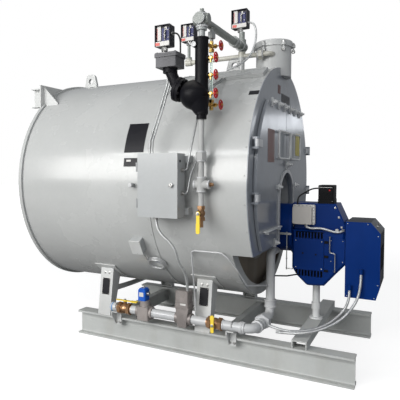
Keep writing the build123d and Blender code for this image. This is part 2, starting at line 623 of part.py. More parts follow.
housing_outline = Polygon((BURNER_X, HOOD_BOTTOM_Z), (BURNER_RIGHT_X, HOOD_BOTTOM_Z), (BURNER_RIGHT_X, 640),
                          (825, 575), (755, 492), (644, pedestal_top), (575, 548), (BURNER_X, 600), align=None)
housing = along_y(housing_outline, -BURNER_HALF_DEPTH, BURNER_HALF_DEPTH)
housing = fillet(housing.edges().filter_by(Axis.Y).group_by(Axis.Z)[0], 30)
housing = chamfer(housing.faces().sort_by(Axis.Y)[0].outer_wire().edges(), 14)
fin_zones = ((548.0, 590.0), (806.0, 848.0))
fin_left = BURNER_X + 26
fin_right = BURNER_PANEL_RIGHT_X
pitch = (fin_right - fin_left) / BURNER_FIN_COUNT
for low, high in fin_zones:
    for i in range(BURNER_FIN_COUNT):
        left = fin_left + i * pitch
        housing -= box(left, left + pitch - BURNER_FIN_WIDTH, -BURNER_HALF_DEPTH - 1,
                       -BURNER_HALF_DEPTH + BURNER_FIN_DEPTH, low, high)
panel = box(BURNER_X + 16, BURNER_PANEL_RIGHT_X, -BURNER_HALF_DEPTH - 7, -BURNER_HALF_DEPTH + 1,
            BURNER_PANEL_BOTTOM_Z, BURNER_PANEL_TOP_Z)
housing += panel
housing += box(BURNER_PANEL_RIGHT_X + 34, BURNER_RIGHT_X, -BURNER_HALF_DEPTH - 5, -BURNER_HALF_DEPTH + 1, 652, 812)

hood_outline = Polygon((BURNER_X + 2, HOOD_BOTTOM_Z + SEAT), (BURNER_X + 2, HOOD_TOP_Z), (818, HOOD_TOP_Z),
                       (BURNER_RIGHT_X - 2, 900), (BURNER_RIGHT_X - 2, HOOD_BOTTOM_Z + SEAT), align=None)
burner_hood = along_y(hood_outline, -HOOD_HALF_DEPTH, HOOD_HALF_DEPTH)
burner_hood = chamfer(burner_hood.faces().sort_by(Axis.Y)[0].outer_wire().edges(), 6)

control_box_y = -HOOD_HALF_DEPTH - SEAT
junction_box = box(BURNER_X + 2, 690, control_box_y - CONTROL_BOX_DEPTH, control_box_y, 897, 1030)
junction_box = fillet(junction_box.edges().filter_by(Axis.Y), 8)
flame_control = box(700, 801, -HOOD_HALF_DEPTH + 8, 40, HOOD_TOP_Z + SEAT, 1162)
flame_control = chamfer(flame_control.edges().group_by(Axis.Z)[-1], 5)

right = CABINET_B_X + CABINET_B_WIDTH
cabinet_outline = Polygon((CABINET_B_X, CABINET_B_BOTTOM_Z), (CABINET_B_X, CABINET_B_TOP_Z),
                          (right - 58, CABINET_B_TOP_Z), (right, CABINET_B_TOP_Z - 68), (right, 520),
                          (right - 22, CABINET_B_BOTTOM_Z), align=None)
burner_cabinet = along_y(cabinet_outline, CABINET_B_NEAR_Y, CABINET_B_FAR_Y)
hub_gap = box(BURNER_RIGHT_X + SEAT, CABINET_B_X + 1, -100, 100, 660, 820)
burner_cabinet += hub_gap
CORD_FACE_OFFSET = 16.0
connector_y = CABINET_B_NEAR_Y - CORD_FACE_OFFSET
CONNECTOR_PLACES = ((984.0, 600.0), (917.0, 492.0))
for x, z in CONNECTOR_PLACES:
    burner_cabinet += rod((x, CABINET_B_NEAR_Y + 2, z + 22), (x, connector_y, z + 22), 11)
    burner_cabinet += rod((x, connector_y, z + SEAT), (x, connector_y, z + 32), 12)

pedestal_base = RAIL_HEIGHT + CHANNEL_HEIGHT
pedestal = rod((CHANNEL_X, 0, pedestal_base), (CHANNEL_X, 0, pedestal_top - 2), PEDESTAL_RADIUS)
pedestal += rod((CHANNEL_X, 0, pedestal_base + 66), (CHANNEL_X, 0, pedestal_base + 112), PEDESTAL_COUPLING_RADIUS)
pedestal += rod((CHANNEL_X, 0, pedestal_base), (CHANNEL_X, 0, pedestal_base + 10), 44)
pedestal -= housing


# Gas train
def gas_band(x, half, radius):
    """A coupling or a hexagon on the gas pipe."""
    return rod((x - half, GAS_Y, GAS_Z), (x + half, GAS_Y, GAS_Z), radius)


gas_points = [(GAS_INLET_X, GAS_Y, GAS_Z), (GAS_RISER_X, GAS_Y, GAS_Z), (GAS_RISER_X, GAS_RISER_Y, GAS_Z),
              (GAS_RISER_X, GAS_RISER_Y, GAS_RISER_TOP_Z), (GAS_RISER_X, -60, GAS_RISER_TOP_Z)]
elbow_radii = [GAS_ELBOW_RADIUS] * 2 + [GAS_ELBOW_RADIUS - 18]
gas_pipe = tube_along(gas_points, elbow_radii, GAS_RADIUS)
gas_pipe += gas_band(GAS_RISER_X - GAS_ELBOW_RADIUS - 12, 18, GAS_RADIUS + 7)
gas_pipe += rod((GAS_RISER_X, GAS_Y + GAS_ELBOW_RADIUS - 4, GAS_Z), (GAS_RISER_X, GAS_Y + GAS_ELBOW_RADIUS + 30, GAS_Z),
                GAS_RADIUS + 7)
gas_pipe += rod((GAS_RISER_X, GAS_RISER_Y, GAS_Z + GAS_ELBOW_RADIUS - 8),
                (GAS_RISER_X, GAS_RISER_Y, GAS_Z + GAS_ELBOW_RADIUS + 34), GAS_RADIUS + 7)
gas_pipe += hex_bar((GAS_RISER_X, -400, GAS_Z), (GAS_RISER_X, -345, GAS_Z), 92)
gas_pipe -= rod((BURNER_X - 400, 0, FURNACE_Z), (BURNER_X, 0, FURNACE_Z), BURNER_TUBE_RADIUS + SEAT)
gas_pipe -= rod((GAS_INLET_X - 1, GAS_Y, GAS_Z), (GAS_INLET_X + 60, GAS_Y, GAS_Z), GAS_RADIUS - GAS_WALL)


def valve_slot(x, half):
    """The stretch of pipe that a valve takes the place of."""
    return rod((x - half - SEAT, GAS_Y, GAS_Z), (x + half + SEAT, GAS_Y, GAS_Z), GAS_RADIUS + 20)


COCK_HALF = 48.0
SOLENOID_HALF = 62.0
ACTUATOR_HALF = 58.0
for x in COCK_X:
    gas_pipe -= valve_slot(x, COCK_HALF)
gas_pipe -= valve_slot(SOLENOID_X, SOLENOID_HALF)
gas_pipe -= valve_slot(ACTUATOR_X, ACTUATOR_HALF)


def ball_valve(centre, axis, stem, half, body_radius, end_radius, stem_reach):
    """A brass ball valve: a round body with hexagon ends and a stem on one side."""
    c = Vector(*centre)
    a = Vector(*axis)
    s = Vector(*stem)
    body = rod(c - a * half, c + a * half, end_radius * 0.86)
    body += Pos(*c) * Sphere(body_radius)
    for side in (-1, 1):
        body += hex_bar(c + a * (side * half), c + a * (side * half * 0.52), end_radius * 2)
    body += rod(c, c + s * (body_radius + 12), 14)
    body += rod(c, c + s * stem_reach, 6)
    return body


COCK_STEM = 62.0
gas_cocks = [ball_valve((COCK_X[0], GAS_Y, GAS_Z), (1, 0, 0), (0, 0, 1), COCK_HALF, 37, 38, COCK_STEM),
             ball_valve((COCK_X[1], GAS_Y, GAS_Z), (1, 0, 0), (0, -1, 0), COCK_HALF, 37, 38, COCK_STEM)]


def lever(length, back, width, hub_length, bend):
    """A flat lever along +X that turns about Z, with a hub bored for the stem."""
    blade = box(-back, length, -width / 2, width / 2, 0, 5)
    blade = fillet(blade.edges().filter_by(Axis.Z), width / 2 - 1)
    grip = box(length * 0.45, length, -width / 2 - 2, width / 2 + 2, -1.5, 7)
    grip = fillet(grip.edges().filter_by(Axis.Z), width / 2)
    hub = rod((0, 0, -bend), (0, 0, hub_length), 12)
    shape = blade + grip + hub
    return shape - rod((0, 0, -bend - 1), (0, 0, hub_length + 1), 6 + PIN_CLEARANCE)


gas_lever_z = GAS_Z + 54
gas_handle_rear = Pos(COCK_X[0], GAS_Y, gas_lever_z) * lever(104, 76, 22, 7, 2)
gas_handle_front = Pos(COCK_X[1], GAS_Y - 54, GAS_Z) * Rot(90, 0, 0) * Rot(0, 0, 90) * lever(66, 48, 22, 7, 2)

solenoid = rod((SOLENOID_X - SOLENOID_HALF, GAS_Y, GAS_Z), (SOLENOID_X + SOLENOID_HALF, GAS_Y, GAS_Z), 40)
solenoid += box(SOLENOID_X - 46, SOLENOID_X + 46, GAS_Y - 46, GAS_Y + 46, GAS_Z - 52, GAS_Z + 42)
solenoid = fillet(solenoid.edges().filter_by(Axis.Z), 12)
solenoid += rod((SOLENOID_X, GAS_Y, GAS_Z + 41), (SOLENOID_X, GAS_Y, GAS_Z + 82), 38)
coil_box = box(SOLENOID_X - 42, SOLENOID_X + 18, GAS_Y - 34, GAS_Y + 34, GAS_Z + 82 + SEAT, GAS_Z + 168)
coil_box = fillet(coil_box.edges().group_by(Axis.Z)[-1], 10)
coil_box += rod((SOLENOID_X + 17, GAS_Y, GAS_Z + 130), (SOLENOID_X + 34, GAS_Y, GAS_Z + 130), 14)

actuator = rod((ACTUATOR_X - ACTUATOR_HALF, GAS_Y, GAS_Z), (ACTUATOR_X + ACTUATOR_HALF, GAS_Y, GAS_Z), 40)
body_profile = Polygon((ACTUATOR_X - 46, GAS_Z + 78), (ACTUATOR_X + 46, GAS_Z + 78), (ACTUATOR_X + 30, GAS_Z - 52),
                       (ACTUATOR_X - 30, GAS_Z - 52), align=None)
actuator += along_y(body_profile, GAS_Y - 42, GAS_Y + 42)
actuator += box(ACTUATOR_X - 54, ACTUATOR_X + 54, GAS_Y - 52, GAS_Y + 40, GAS_Z + 77, GAS_Z + 84)
actuator_head = box(ACTUATOR_X - 48, ACTUATOR_X + 50, GAS_Y - 50, GAS_Y + 40, GAS_Z + 84 + SEAT, GAS_Z + 196)
actuator_head = fillet(actuator_head.edges().filter_by(Axis.Z), 9)


# Water column
def wheel(x, y, z):
    """A handwheel about the X axis: a rim, five spokes and a bored hub."""
    rim = Pos(x, y, z) * Rot(0, 90, 0) * Torus(WHEEL_RADIUS - WHEEL_RIM_RADIUS, WHEEL_RIM_RADIUS)
    hub = rod((x - 7, y, z), (x + 7, y, z), 9)
    shape = rim + hub
    for i in range(5):
        turn = radians(72 * i)
        reach = WHEEL_RADIUS - WHEEL_RIM_RADIUS
        shape += rod((x, y, z), (x, y + reach * cos(turn), z + reach * sin(turn)), 3.4)
    return shape - rod((x - 8, y, z), (x + 8, y, z), STEM_RADIUS + PIN_CLEARANCE)


column = rod((COLUMN_X, COLUMN_Y, COLUMN_BOTTOM_Z + 30), (COLUMN_X, COLUMN_Y, COLUMN_TOP_Z), COLUMN_RADIUS)
column += rod((COLUMN_X, COLUMN_Y, COLUMN_BOTTOM_Z), (COLUMN_X, COLUMN_Y, COLUMN_BOTTOM_Z + 40), 30)
column += Pos(BOWL_X, COLUMN_Y, BOWL_Z) * Sphere(BOWL_RADIUS)
bowl_low = Plane(origin=(COLUMN_X, COLUMN_Y, COLUMN_BOTTOM_Z + 26)) * Circle(34)
bowl_mid = Plane(origin=(BOWL_X + 8, COLUMN_Y, BOWL_Z - 20)) * Circle(80)
column += loft([bowl_low, bowl_mid])
column += rod((COLUMN_X - 32, COLUMN_Y - 44, 1990), (COLUMN_X - 32, COLUMN_Y, 1990), 17)
bowl_centre = Vector(BOWL_X, COLUMN_Y, BOWL_Z)
flange_at = bowl_centre + Vector(-0.93, 0, 0.37).normalized() * (BOWL_RADIUS - 6)
flange_dir = Vector(-0.93, 0, 0.37).normalized()
column += rod(flange_at, flange_at + flange_dir * 20, 70)
for z in TRY_COCK_Z:
    column += rod((COLUMN_X, COLUMN_Y, z), (COLUMN_X + COLUMN_RADIUS + 5, COLUMN_Y, z), 16)

switch_neck_end = Vector(-28, COLUMN_Y, 1862)
float_flange = rod(flange_at + flange_dir * (20 + SEAT), flange_at + flange_dir * 38, 74)
float_flange += rod(flange_at + flange_dir * 30, switch_neck_end, 34)
float_flange += rod(switch_neck_end - Vector(0, 0, 14), switch_neck_end + Vector(0, 0, 14), 44)
float_flange -= rod(flange_at - flange_dir * 60, flange_at + flange_dir * (20 + SEAT), 130)
float_flange -= box(-200, 200, COLUMN_Y - 100, COLUMN_Y + 100, 1876, 1990)
switch_box = box(-132, 76, COLUMN_Y - 62, COLUMN_Y + 62, 1876 + SEAT, 1938)
switch_box += box(-138, 82, COLUMN_Y - 68, COLUMN_Y + 68, 1936, 1962)
switch_box = fillet(switch_box.edges().filter_by(Axis.Z), 8)

# Brass cocks: the gauge's two angle valves and the three try cocks


def stem_of(x, y, z, reach):
    """A valve bonnet and stem along +X."""
    shape = rod((x, y, z), (x + reach * 0.45, y, z), 9)
    shape += hex_bar((x + reach * 0.2, y, z), (x + reach * 0.38, y, z), 24)
    return shape + rod((x, y, z), (x + reach, y, z), STEM_RADIUS)


try_cocks = []
for z in TRY_COCK_Z:
    start = COLUMN_X + COLUMN_RADIUS + 5 + SEAT
    spout = rod((start + 12, COLUMN_Y, z), (start + 12, COLUMN_Y, z - 26), 6)
    try_cocks.append(stem_of(start, COLUMN_Y, z, WHEEL_STEM_REACH - 34) + spout)
gauge_valves = []
for z, sign in ((GAUGE_TOP_Z, 1), (GAUGE_BOTTOM_Z, -1)):
    valve = Pos(GAUGE_X, GAUGE_Y, z) * Sphere(16)
    valve += rod((GAUGE_X, GAUGE_Y, z + sign * 30), (GAUGE_X, GAUGE_Y, z - sign * 34), 12)
    valve += hex_bar((GAUGE_X, GAUGE_Y, z - sign * 34), (GAUGE_X, GAUGE_Y, z - sign * 16), 30)
    valve += stem_of(GAUGE_X + 6, GAUGE_Y, z, WHEEL_STEM_REACH - 24)
    valve += rod((GAUGE_X, GAUGE_Y, z), (GAUGE_X, COLUMN_Y, z), 10)
    valve -= column
    valve = valve.solids().sort_by(Axis.Y)[-1]
    gauge_valves.append(valve)
gauge_glass = rod((GAUGE_X, GAUGE_Y, GAUGE_BOTTOM_Z + 34 + SEAT), (GAUGE_X, GAUGE_Y, GAUGE_TOP_Z - 34 - SEAT), 8)
wheel_try_x = COLUMN_X + COLUMN_RADIUS + 5 + WHEEL_STEM_REACH - 34 - 9
wheel_gauge_x = GAUGE_X + 6 + WHEEL_STEM_REACH - 24 - 9
handwheels = {
    "handwheel_gauge_top": wheel(wheel_gauge_x, GAUGE_Y, GAUGE_TOP_Z),
    "handwheel_try_top": wheel(wheel_try_x, COLUMN_Y, TRY_COCK_Z[0]),
    "handwheel_try_middle": wheel(wheel_try_x, COLUMN_Y, TRY_COCK_Z[1]),
    "handwheel_try_bottom": wheel(wheel_try_x, COLUMN_Y, TRY_COCK_Z[2]),
    "handwheel_gauge_bottom": wheel(wheel_gauge_x, GAUGE_Y, GAUGE_BOTTOM_Z),
}

# Steam piping: up from the column, across to the nozzle, and the header of the pressure controls
pipe_top = (COLUMN_X, COLUMN_Y, TOP_PIPE_Z)
steam = rod((COLUMN_X, COLUMN_Y, COLUMN_TOP_Z + SEAT), (COLUMN_X, COLUMN_Y, TOP_PIPE_Z + 46), TOP_PIPE_RADIUS - 5)
steam += rod((COLUMN_X, COLUMN_Y, TOP_PIPE_Z - 46), (COLUMN_X, COLUMN_Y, TOP_PIPE_Z + 34), 32)
steam += rod((COLUMN_X, COLUMN_Y - 48, TOP_PIPE_Z), (COLUMN_X, COLUMN_Y + 48, TOP_PIPE_Z), 32)
steam += rod((COLUMN_X - 46, COLUMN_Y, TOP_PIPE_Z), (COLUMN_X + 46, COLUMN_Y, TOP_PIPE_Z), 30)
steam += rod((COLUMN_X, COLUMN_Y, TOP_PIPE_Z + 34), (COLUMN_X, COLUMN_Y, TOP_PIPE_Z + 62), 12)
steam += rod((COLUMN_X, COLUMN_Y, COLUMN_TOP_Z + 42), (COLUMN_X, COLUMN_Y, COLUMN_TOP_Z + 66), 30)
steam += rod(pipe_top, (COLUMN_X, HEADER_Y, TOP_PIPE_Z), TOP_PIPE_RADIUS)
steam += rod((COLUMN_X, -330, TOP_PIPE_Z), (COLUMN_X, -272, TOP_PIPE_Z), 34)
steam += rod((COLUMN_X, -262, TOP_PIPE_Z), (COLUMN_X, -252, TOP_PIPE_Z), 32)
steam += rod((COLUMN_X, HEADER_Y - 44, TOP_PIPE_Z), (COLUMN_X, HEADER_Y + 30, TOP_PIPE_Z), 31)
nozzle_base = SHELL_AXIS_Z + shell_height(HEADER_Y + 20) - 10
steam += rod((COLUMN_X, HEADER_Y, nozzle_base), (COLUMN_X, HEADER_Y, 2238), HEADER_RADIUS + 3)
steam += rod((COLUMN_X, HEADER_Y, HEADER_Z - 34), (COLUMN_X, HEADER_Y, HEADER_Z + 34), 25)
steam += rod((COLUMN_X, HEADER_Y, TOP_PIPE_Z - 20), (COLUMN_X, HEADER_Y, TOP_PIPE_Z + 48), 29)
elbow_x = STACK_X + 24
steam += tube_along([(HEADER_LEFT_X - 20, HEADER_Y, HEADER_Z), (elbow_x, HEADER_Y, HEADER_Z), (elbow_x, -60, HEADER_Z)],
                    [30], HEADER_RADIUS)
steam += rod((STACK_X - 70, HEADER_Y, HEADER_Z), (STACK_X - 28, HEADER_Y, HEADER_Z), 27)
steam += hex_bar((STACK_X - 62, HEADER_Y, HEADER_Z), (STACK_X - 36, HEADER_Y, HEADER_Z), 62)
steam += rod((HEADER_LEFT_X - 24, HEADER_Y, HEADER_Z), (HEADER_LEFT_X + 24, HEADER_Y, HEADER_Z), 24)
steam += rod((HEADER_LEFT_X, HEADER_Y, HEADER_Z), (HEADER_LEFT_X, HEADER_Y, HEADER_Z + 40), 22)
steam += rod((HEADER_LEFT_X, HEADER_Y, HEADER_Z), (HEADER_LEFT_X, HEADER_Y, 2198), 11)
drop_top = TOP_PIPE_Z - TOP_PIPE_RADIUS + 6
steam += rod((GAUGE_X, GAUGE_Y, GAUGE_TOP_Z + 30 + SEAT), (GAUGE_X, GAUGE_Y, drop_top), 11)
steam += hex_bar((GAUGE_X, GAUGE_Y, 2052), (GAUGE_X, GAUGE_Y, 2090), 42)
steam -= shell_cylinder(SHELL_RADIUS + SEAT, 0, SHELL_FRONT_X)
steam -= rod((STACK_X, 0, STACK_BOTTOM_Z), (STACK_X, 0, STACK_TOP_Z), STACK_RADIUS + SEAT)

# Drain line under the column
drain = rod((COLUMN_X, COLUMN_Y, DRAIN_VALVE_Z + 44 + SEAT), (COLUMN_X, COLUMN_Y, COLUMN_BOTTOM_Z - SEAT), DRAIN_RADIUS)
drain += rod((COLUMN_X, COLUMN_Y, DRAIN_CROSS_Z - 46), (COLUMN_X, COLUMN_Y, DRAIN_CROSS_Z + 46), 27)
drain += rod((COLUMN_X - 44, COLUMN_Y, DRAIN_CROSS_Z), (COLUMN_X + 56, COLUMN_Y, DRAIN_CROSS_Z), 25)
drain += hex_bar((COLUMN_X, COLUMN_Y, 1322), (COLUMN_X, COLUMN_Y, 1366), 58)
drain += rod((COLUMN_X, COLUMN_Y, 1312), (COLUMN_X, COLUMN_Y, 1376), 25)
drain_wall = -(shell_height(DRAIN_CROSS_Z - SHELL_AXIS_Z) + SEAT)
drain += rod((COLUMN_X, COLUMN_Y, DRAIN_CROSS_Z), (COLUMN_X, drain_wall + 8, DRAIN_CROSS_Z), DRAIN_RADIUS + 3)
drain -= shell_cylinder(SHELL_RADIUS + SEAT, 0, SHELL_FRONT_X)
drain_valve = ball_valve((COLUMN_X, COLUMN_Y, DRAIN_VALVE_Z), (0, 0, 1), (0, -1, 0), 44, 25, 22, 52)
drain_valve += rod((COLUMN_X, COLUMN_Y, DRAIN_END_Z), (COLUMN_X, COLUMN_Y, DRAIN_VALVE_Z), DRAIN_RADIUS - 3)
drain_lever = Pos(COLUMN_X, COLUMN_Y - 43, DRAIN_VALVE_Z) * Rot(90, 0, 0) * Rot(0, 0, -90) * lever(118, 14, 20, 7, 2)


def pressure_control(x, y, z):
    """A pressure control: back box, clear front, lower strip and the boss for its pipe."""
    body = box(x - CONTROL_WIDTH / 2, x + CONTROL_WIDTH / 2, y - CONTROL_DEPTH / 2, y + CONTROL_DEPTH / 2,
               z, z + CONTROL_HEIGHT)
    body = fillet(body.edges().filter_by(Axis.Y), 5)
    window = box(x - CONTROL_WIDTH / 2 + 10, x + CONTROL_WIDTH / 2 - 10, y - CONTROL_DEPTH / 2 - 1,
                 y - CONTROL_DEPTH / 2 + 12, z + 34, z + CONTROL_HEIGHT - 8)
    body -= window
    body += rod((x, y, z - 26), (x, y, z + 1), 20)
    return body


control_left = pressure_control(-67, COLUMN_Y, 2018)
control_left += rod((-67, COLUMN_Y, 1962 + SEAT), (-67, COLUMN_Y, 2000), 10)
control_middle = pressure_control(HEADER_LEFT_X, HEADER_Y, 2198 + 26 + SEAT)
control_right = pressure_control(COLUMN_X - 12, HEADER_Y, 2238 + 26 + SEAT)

# Control cabinet with its door
cabinet_back_y = CABINET_FRONT_Y + CABINET_DEPTH
cabinet = box(CABINET_LEFT_X, CABINET_RIGHT_X, CABINET_FRONT_Y, cabinet_back_y, CABINET_BOTTOM_Z, CABINET_TOP_Z)
cabinet -= box(CABINET_LEFT_X + CABINET_WALL, CABINET_RIGHT_X - CABINET_WALL, CABINET_FRONT_Y - 1,
               cabinet_back_y - CABINET_WALL, CABINET_BOTTOM_Z + CABINET_WALL, CABINET_TOP_Z - CABINET_WALL)
for z in (CABINET_BOTTOM_Z + 34, CABINET_TOP_Z - 34):
    bearer = box(CABINET_LEFT_X + 12, CABINET_RIGHT_X + 26, cabinet_back_y - 1, cabinet_back_y + 120,
                 z - CABINET_RAIL_WIDTH / 2, z + CABINET_RAIL_WIDTH / 2)
    bearer -= box(CABINET_LEFT_X + 16, CABINET_RIGHT_X + 22, cabinet_back_y + 4, cabinet_back_y + 130,
                  z - CABINET_RAIL_WIDTH / 2 - 1, z + CABINET_RAIL_WIDTH / 2 + 1)
    cabinet += bearer
cabinet -= shell_cylinder(SHELL_RADIUS + SEAT, -500, SHELL_FRONT_X)
cabinet_hinge_x = CABINET_LEFT_X - CABINET_HINGE_OFFSET
door_front_y = CABINET_FRONT_Y - SEAT - CABINET_DOOR_THICKNESS
cabinet_hinge_y = door_front_y + CABINET_DOOR_THICKNESS / 2
cabinet_door = box(CABINET_LEFT_X - CABINET_DOOR_LAP, CABINET_RIGHT_X + CABINET_DOOR_LAP, door_front_y,
                   CABINET_FRONT_Y - SEAT, CABINET_BOTTOM_Z - CABINET_DOOR_LAP, CABINET_TOP_Z + CABINET_DOOR_LAP)
cabinet_door = fillet(cabinet_door.edges().filter_by(Axis.Y), 4)
for z in CABINET_HINGE_Z:
    low = z - CABINET_KNUCKLE / 2
    high = z + CABINET_KNUCKLE / 2
    centre = (cabinet_hinge_x, cabinet_hinge_y)
    cabinet_door += rod((*centre, low), (*centre, high), CABINET_KNUCKLE_RADIUS)
    cabinet_door += box(cabinet_hinge_x, CABINET_LEFT_X, cabinet_hinge_y - 1.5, cabinet_hinge_y + 1.5, low, high)
    cabinet_door -= rod((*centre, low - 1), (*centre, high + 1), CABINET_PIN_RADIUS + PIN_CLEARANCE)
    cabinet += rod((*centre, low - 12), (*centre, high + 12), CABINET_PIN_RADIUS)
    for eye_z in (low - 12, high + 1):
        cabinet += rod((*centre, eye_z), (*centre, eye_z + 11), CABINET_KNUCKLE_RADIUS)
        cabinet += box(cabinet_hinge_x - 2, cabinet_hinge_x + 1.5, cabinet_hinge_y, CABINET_FRONT_Y + 14,
                       eye_z, eye_z + 11)
        cabinet += box(cabinet_hinge_x - 2, CABINET_LEFT_X + 1, CABINET_FRONT_Y + 8, CABINET_FRONT_Y + 14,
                       eye_z, eye_z + 11)
latch_x = CABINET_RIGHT_X - LATCH_OFFSET
cabinet_door += rod((latch_x, door_front_y + 1, LATCH_Z), (latch_x, door_front_y - 10, LATCH_Z), 13)
cabinet_door += box(latch_x - 3, latch_x + 3, door_front_y - 16, door_front_y - 9, LATCH_Z - 11, LATCH_Z + 11)

# Fittings on the shell: a small cable box, a thermometer well and a hook
small_box = box(-40, 40, -52, 52, SHELL_RADIUS - 10, SHELL_RADIUS + 52)
small_box = fillet(small_box.edges().filter_by(Axis.Z), 6)
small_box_turn = 180 - degrees(asin(697 / 805))
small_box = Pos(-343, 0, SHELL_AXIS_Z) * Rot(small_box_turn, 0, 0) * small_box
small_box -= shell_cylinder(SHELL_RADIUS + SEAT, -500, 0)
well = rod((-323, -SHELL_RADIUS + 10, SHELL_AXIS_Z - 8), (-323, -SHELL_RADIUS - 34, SHELL_AXIS_Z - 8), 10)
well += hex_bar((-323, -SHELL_RADIUS - 8, SHELL_AXIS_Z - 8), (-323, -SHELL_RADIUS - 22, SHELL_AXIS_Z - 8), 26)
well -= shell_cylinder(SHELL_RADIUS + SEAT, -500, 0)

# Rigid conduits between the cabinet, the column and the shell
conduit_routes = [
    [(64.3, -885, 1262), (96, -885, 1262), (114, -862, 1400), (124, -800, 1570), (130, -716, 1720),
     (135, -600, 1800), (138, -484, 1843), (138, -431.3, 1870.6)],
    [(64.3, -885, 1124), (100, -885, 1124), (116, -870, 1240), (150, -805, 1380), (156, -790, 1570),
     (152, -716, 1720), (157, -600, 1800), (158, -484, 1843), (158, -431.3, 1870.6)],
    [(-166, -870, 1362.3), (-166, -866, 1440), (-118, -824, 1640), (-72, -812, 1800), (-70, -812, 1875.7)],
    [(-146, -870, 1362.3), (-146, -866, 1440), (-98, -824, 1640), (-54, -811, 1800), (-52, -811, 1875.7)],
]
conduits = []
for route in conduit_routes:
    conduits.append(tube_along(route, [min(40, r) for r in corner_radii(route)], 5.5))

PILOT_ROUTE = [(14, GAS_Y, GAS_Z + GAS_RADIUS + SEAT), (14, -575, 420), (40, -692, 738), (66, -716, 756),
               (250, -718, 756), (292, -702, 722), (330, -640, 640), (345, -500, 520), (402.5, -229.5, 473)]

# Cords that hang or lie free
BURNER_FLEX_A = [(917, connector_y, 492), (917, connector_y, 420), (880, -215, 345), (800, -330, 282), (690, -440, 262),
                 (575, -500, 262), (480, -470, 276)]
BURNER_FLEX_B = [(984, connector_y, 600), (984, connector_y, 520), (962, -215, 420), (890, -330, 330), (780, -445, 282),
                 (650, -520, 262), (540, -530, 262)]
CABINET_FLEX = [(-104, -900, 978), (-100, -902, 920), (-70, -886, 862), (-20, -862, 815), (4, -842, 760),
                (-2, -800, 690), (14, -740, 620), (6, -690, 560), (-6, -650, 480)]
CONTROL_CABLE = [(-9.7, -860, 2084), (18, -860, 2084), (40, -862, 2046), (40, -860, 2000), (40, -860, 1962.3)]
CONTROL_FLEX = [(223.3, -150, 2300), (258, -150, 2300), (286, -160, 2236), (290, -190, 2140), (268, -240, 2040),
                (216, -320, 1968), (150, -366, 1938)]
FLAME_CABLE = [(699.7, -90, 1140), (666, -90, 1140), (620, -108, 1112), (584, -132, 1088), (576, -138, 1058),
               (576, -138, 1030.3)]
cords = {
    "burner_flex_front": (BURNER_FLEX_B, 9.0),
    "burner_flex_rear": (BURNER_FLEX_A, 9.0),
    "cabinet_flex": (CABINET_FLEX, 9.0),
    "control_cable": (CONTROL_CABLE, 5.0),
    "control_flex": (CONTROL_FLEX, 7.0),
    "flame_cable": (FLAME_CABLE, 5.0),
}

nodes = {
    "skid_rails": solids(near_rail, far_rail),
    "gas_brackets": solids(*[gas_bracket(x) for x in GAS_BRACKET_X]),
    "cross_members": solids(cross_channel, *ties),
    "legs": solids(*near_legs, *far_legs),
    "rear_brace": rear_brace,
    "rear_jacket": rear_jacket + seam_band,
    "front_jacket": front_jacket,
    "rear_head": rear_head,
    "rear_door": rear_door,
    "rear_brackets": solids(*rear_brackets),
    "lifting_lugs": solids(*[lifting_lug(x) for x in LUG_X]),
    "front_tubesheet": tubesheet + furnace_plate,
    "smokebox_wrap": smokebox_wrap,
    "smokebox_frame": smokebox_frame,
    "near_front_door": near_front_door,
    "far_front_door": far_front_door,
    "near_door_handle": handle_frame(-1),
    "far_door_handle": handle_frame(1),
    "stack_stub": stack_stub,
    "stack_cap": stack_cap,
    "wireway": wireway,
    "burner_tube": burner_tube,
    "burner_housing": housing,
    "burner_hood": burner_hood,
    "burner_controls": solids(junction_box, flame_control),
    "burner_cabinet": burner_cabinet,
    "burner_pedestal": pedestal,
    "gas_pipe": gas_pipe,
    "ball_valves": solids(drain_valve, *gas_cocks),
    "gas_handle_rear": gas_handle_rear,
    "gas_handle_front": gas_handle_front,
    "gas_valves": solids(solenoid, actuator),
    "gas_actuators": solids(coil_box, actuator_head),
    "water_column": column,
    "float_flange": float_flange,
    "switch_box": switch_box,
    "column_cocks": solids(*try_cocks, *gauge_valves),
    "gauge_glass": gauge_glass,
    "steam_piping": steam,
    "drain_line": drain,
    "drain_lever": drain_lever,
    "pressure_controls": solids(control_left, control_middle, control_right),
    "control_cabinet": cabinet,
    "cabinet_door": cabinet_door,
    "shell_fittings": solids(small_box, well),
    "control_conduits": solids(*conduits),
    "pilot_line": tube_along(PILOT_ROUTE, [min(24, r) for r in corner_radii(PILOT_ROUTE)], 5.0),
}
nodes.update(handwheels)
for cord_name, (route, cord_radius) in cords.items():
    nodes[cord_name] = free_cord(cord_name, route, cord_radius)

os.makedirs("parts", exist_ok=True)
for node_name, shape in nodes.items():
    export_step(shape, "parts/" + node_name + ".step")
print(len(nodes), "nodes written")
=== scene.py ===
"""Looks of the packaged fire-tube boiler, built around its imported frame.

Sizes are in millimetres in every class below and become metres when a mesh is made.
X points to the burner, Y to the far side and Z up, with the origin on the floor amid the anchor holes.
"""
import logging
import math
from dataclasses import dataclass, field, replace
from enum import Enum
from typing import Callable, Iterable, Sequence

